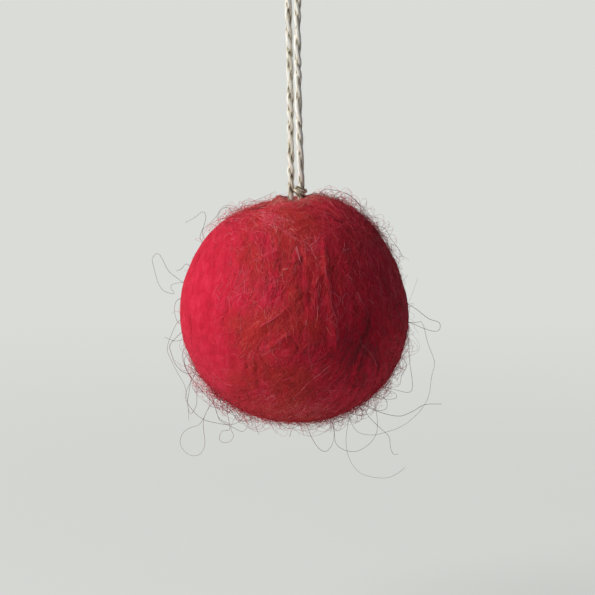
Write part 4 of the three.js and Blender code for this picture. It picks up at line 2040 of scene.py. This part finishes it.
    def build_face(self) -> Piece:
        """Build the locks and single hairs that catch the eye on the ball's face.

        Returns:
            The new piece.
        """
        form = self.hair
        draw = np.random.default_rng(self.seed + Draws.FACE.value)
        walked, shades = [], []
        for hair in FACE_HAIRS:
            fine = smooth_line(self.seen_at(hair.course) * self.mean_radius, self.hair_step)
            spread = self.lock_spread * math.sqrt(hair.fibres) if hair.fibres > 1 else 0.0
            for _ in range(hair.fibres):
                first = draw.uniform(0, self.hair_ends)
                last = draw.uniform(1 - self.hair_ends, 1.0)
                part = thinned(fine, first, last, form.steps)
                aside = unit(np.cross(part, np.gradient(part, axis=0)))
                turn = np.linspace(0, self.hair_wave_turn, form.steps) + draw.uniform(0, TURN)
                wave = self.hair_wave * np.sin(turn)
                walked.append(unit(part + aside * (wave + draw.normal(0, spread))[:, None]))
                shades.append(hair.shade + draw.normal(0, self.hair_mottle))
        count = len(walked)
        lines = self.stand_off(np.array(walked), draw.uniform(*self.hair_lifts, count), Lift.LAID)
        radii = form.thickness(draw, count)
        tints = SHADE_SPAN * np.clip(shades, 0, 1)
        strands = Strands()
        strands.sweep(lines, radii, form.sides, tints, None, self.faced(draw, lines, form.roll))
        return strands.to_object("face_hairs", False)

    def build_entry(self) -> Piece:
        """Build the teased fibres round the knot, where the needle broke the skin.

        Returns:
            The new piece.
        """
        form = self.entry
        draw = np.random.default_rng(self.seed + Draws.ENTRY.value)
        count = self.entry_count
        ring = draw.uniform(0, TURN, count)
        reach = self.entry_near + draw.exponential(self.entry_fall, count)
        reach = reach.clip(self.entry_near, self.entry_far) / self.mean_radius
        away = np.stack([np.cos(ring) * self.entry_wide * reach, np.sin(ring) * reach, 0 * ring], axis=1)
        starts = unit(self.knot + away)
        lengths = draw.uniform(*form.lengths, count)
        walked = self.wander(draw, starts, lengths, form.steps, form.stray, form.curl)
        # The fuzz is low in front of and behind the knot, and highest on its right.
        low = np.where(np.cos(ring) < 0, self.left_share, 1.0)
        low = np.where(np.abs(np.sin(ring)) > self.entry_front, self.front_share, low)
        lifts = form.heights(draw, count, self.entry_lift, low) * self.clear_of_knot(walked)
        lines = self.stand_off(walked, lifts, Lift.ARCHED)
        radii = form.thickness(draw, count)
        tints = SECOND_WOOL + SHADE_SPAN * draw.beta(*self.entry_shades, count)
        strands = Strands()
        strands.sweep(lines, radii, form.sides, tints, None, self.faced(draw, lines, form.roll))
        return strands.to_object("entry_fuzz", False)

    def follow(self, draw: Source, route: tuple[Triple, ...], steps: int) -> Array:
        """Let one loose fibre follow a route over the back, a little apart from it.

        Args:
            draw: Source of random numbers.
            route: Places as angle in the front view, angle towards the viewer, and height.
            steps: Points on the fibre.

        Returns:
            Points in millimetres (steps, 3).
        """
        around, front, height = np.array(route, dtype=float).T
        away = np.cos(np.radians(front))
        apart, stray = self.route_apart, self.route_stray
        aside = draw.normal(0, apart) / away
        around = np.radians(around + aside + draw.normal(0, stray, len(route)) / away)
        front = np.radians(front + draw.normal(0, apart) + draw.normal(0, stray, len(route)))
        out = [np.cos(around) * np.cos(front), -np.sin(front), np.sin(around) * np.cos(front)]
        out = np.stack(out, axis=1)
        reach = self.radius(out) + height * draw.uniform(*self.route_heights)
        fine = smooth_line(self.centre + out * reach[:, None], self.flyaway_step)
        return thinned(fine, 0, 1, steps)

    def build_flyaways(self) -> Piece:
        """Build the long loose fibres: those at the outline, and like ones on the back.

        Returns:
            The new piece.
        """
        form = self.flyaway
        draw = np.random.default_rng(self.seed + Draws.FLYAWAYS.value)
        lines = []
        for stray in STRAY_FIBRES:
            share = np.linspace(0, 1, len(stray.course))
            bowed = np.sin(math.pi * share) if stray.kind is Lift.ARCHED else share**self.flyaway_bow
            depths = stray.bow * bowed
            points = [self.eye.in_space(self.centre, p, d) for p, d in zip(stray.course, depths)]
            fine = smooth_line(np.array(points), self.flyaway_step)
            lines.append(thinned(fine, 0, 1, form.steps))
        for route in BACK_FIBRES:
            lines += [self.follow(draw, route, form.steps) for _ in range(self.fibres_per_route)]
        radii = form.thickness(draw, len(lines))
        tints = SHADE_SPAN * draw.beta(*self.flyaway_shades, len(lines))
        strands = Strands()
        strands.sweep(np.array(lines), radii, form.sides, tints)
        piece = strands.to_object("flyaway_fibres")
        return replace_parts(piece, *[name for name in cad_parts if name.startswith("stray_fibre")])

    def build(self) -> list[Piece]:
        """Build and dress the ball.

        Returns:
            The pieces of the ball.
        """
        skin = self.build_skin()
        core = self.build_core()
        fibres = [self.build_nap(n + 1) for n in range(self.nap_pieces)]
        fibres += [self.build_halo(), self.build_face()]
        wool = DyedWoolFibre().material()
        for piece in fibres:
            piece.data.materials.append(wool)
        flyaways = self.build_flyaways()
        flyaways.data.materials.append(LOOSE_FIBRE_IN_PAINTED_SHADE.material())
        entry = self.build_entry()
        entry.data.materials.append(DUSTY_FIBRE.material())
        fibres += [flyaways, entry]
        for piece in fibres:
            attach(piece, "ball")
        return [skin, core, *fibres]


@dataclass
class Stage:
    """Pale paper under the ball, one large soft light from the left and a weak even fill."""

    ball: Array
    floor_drop: float = 69.5
    floor_radius: float = 6000.0
    floor_corners: int = 96
    key_from: Triple = (-0.803, -0.324, 0.5)
    key_distance: float = 1000.0
    key_width: float = 500.0
    key_height: float = 1200.0
    key_power: float = 12.6
    fill: float = 0.06
    fill_tone: str = "#EAF0FF"

    def build_floor(self) -> None:
        """Lay the paper a little below the ball."""
        turns = np.arange(self.floor_corners) * TURN / self.floor_corners
        ring = np.stack([np.cos(turns), np.sin(turns), 0 * turns], axis=1) * self.floor_radius
        floor = mesh_object("studio_floor", ring, [list(range(len(ring)))], {}, False)
        floor.data.materials.append(StudioPaper().material())
        floor.location = (0.0, 0.0, (self.ball[2] - self.floor_drop) * MM)

    def build_key(self) -> None:
        """Hang the soft light, aimed at the ball."""
        lamp = bpy.data.lights.new("window_light", "AREA")
        lamp.shape = "RECTANGLE"
        lamp.size = self.key_width * MM
        lamp.size_y = self.key_height * MM
        lamp.energy = self.key_power
        key = add_object("window_light", lamp)
        target = Vector(self.ball.tolist()) * MM
        aim(key, target, Vector(self.key_from).normalized(), self.key_distance)

    def build_world(self) -> None:
        """Give the world the paper's tone for the eye and a weak even light for the ball."""
        world = bpy.data.worlds.new("studio")
        world.use_nodes = True
        tree = world.node_tree
        tree.nodes.clear()
        path = add_node(tree, "LightPath")
        mirror = add_node(
            tree,
            "Math",
            {"operation": "MAXIMUM"},
            {0: path.outputs["Is Glossy Ray"], 1: path.outputs["Is Transmission Ray"]},
        )
        seen = add_node(
            tree,
            "Math",
            {"operation": "MAXIMUM"},
            {0: path.outputs["Is Camera Ray"], 1: mirror.outputs["Value"]},
        )
        fill = add_node(tree, "Background", {"Color": linear(self.fill_tone), "Strength": self.fill})
        paper = add_node(tree, "Background", {"Color": linear(StudioPaper().pale), "Strength": 1.0})
        both = add_node(
            tree,
            "MixShader",
            None,
            {0: seen.outputs["Value"], 1: fill.outputs["Background"], 2: paper.outputs["Background"]},
        )
        add_node(tree, "OutputWorld", None, {"Surface": both.outputs["Shader"]})
        bpy.context.scene.world = world

    def build(self) -> None:
        """Build the floor, the light and the world."""
        self.build_floor()
        self.build_key()
        self.build_world()
        bpy.context.scene.view_settings.view_transform = "Standard"


def main() -> None:
    """Build the camera, the twine, the ball and the stage, and report each piece."""
    logging.basicConfig(level=logging.INFO, format="%(name)s: %(message)s")
    eye = Viewpoint()
    ball = FeltBall(eye)
    eye.set_camera(ball.centre)
    for piece in TwineLoop().build() + ball.build():
        log.info("%s has %d faces", piece.name, len(piece.data.polygons))
    Stage(ball.centre).build()


if __name__ == "__main__":
    main()
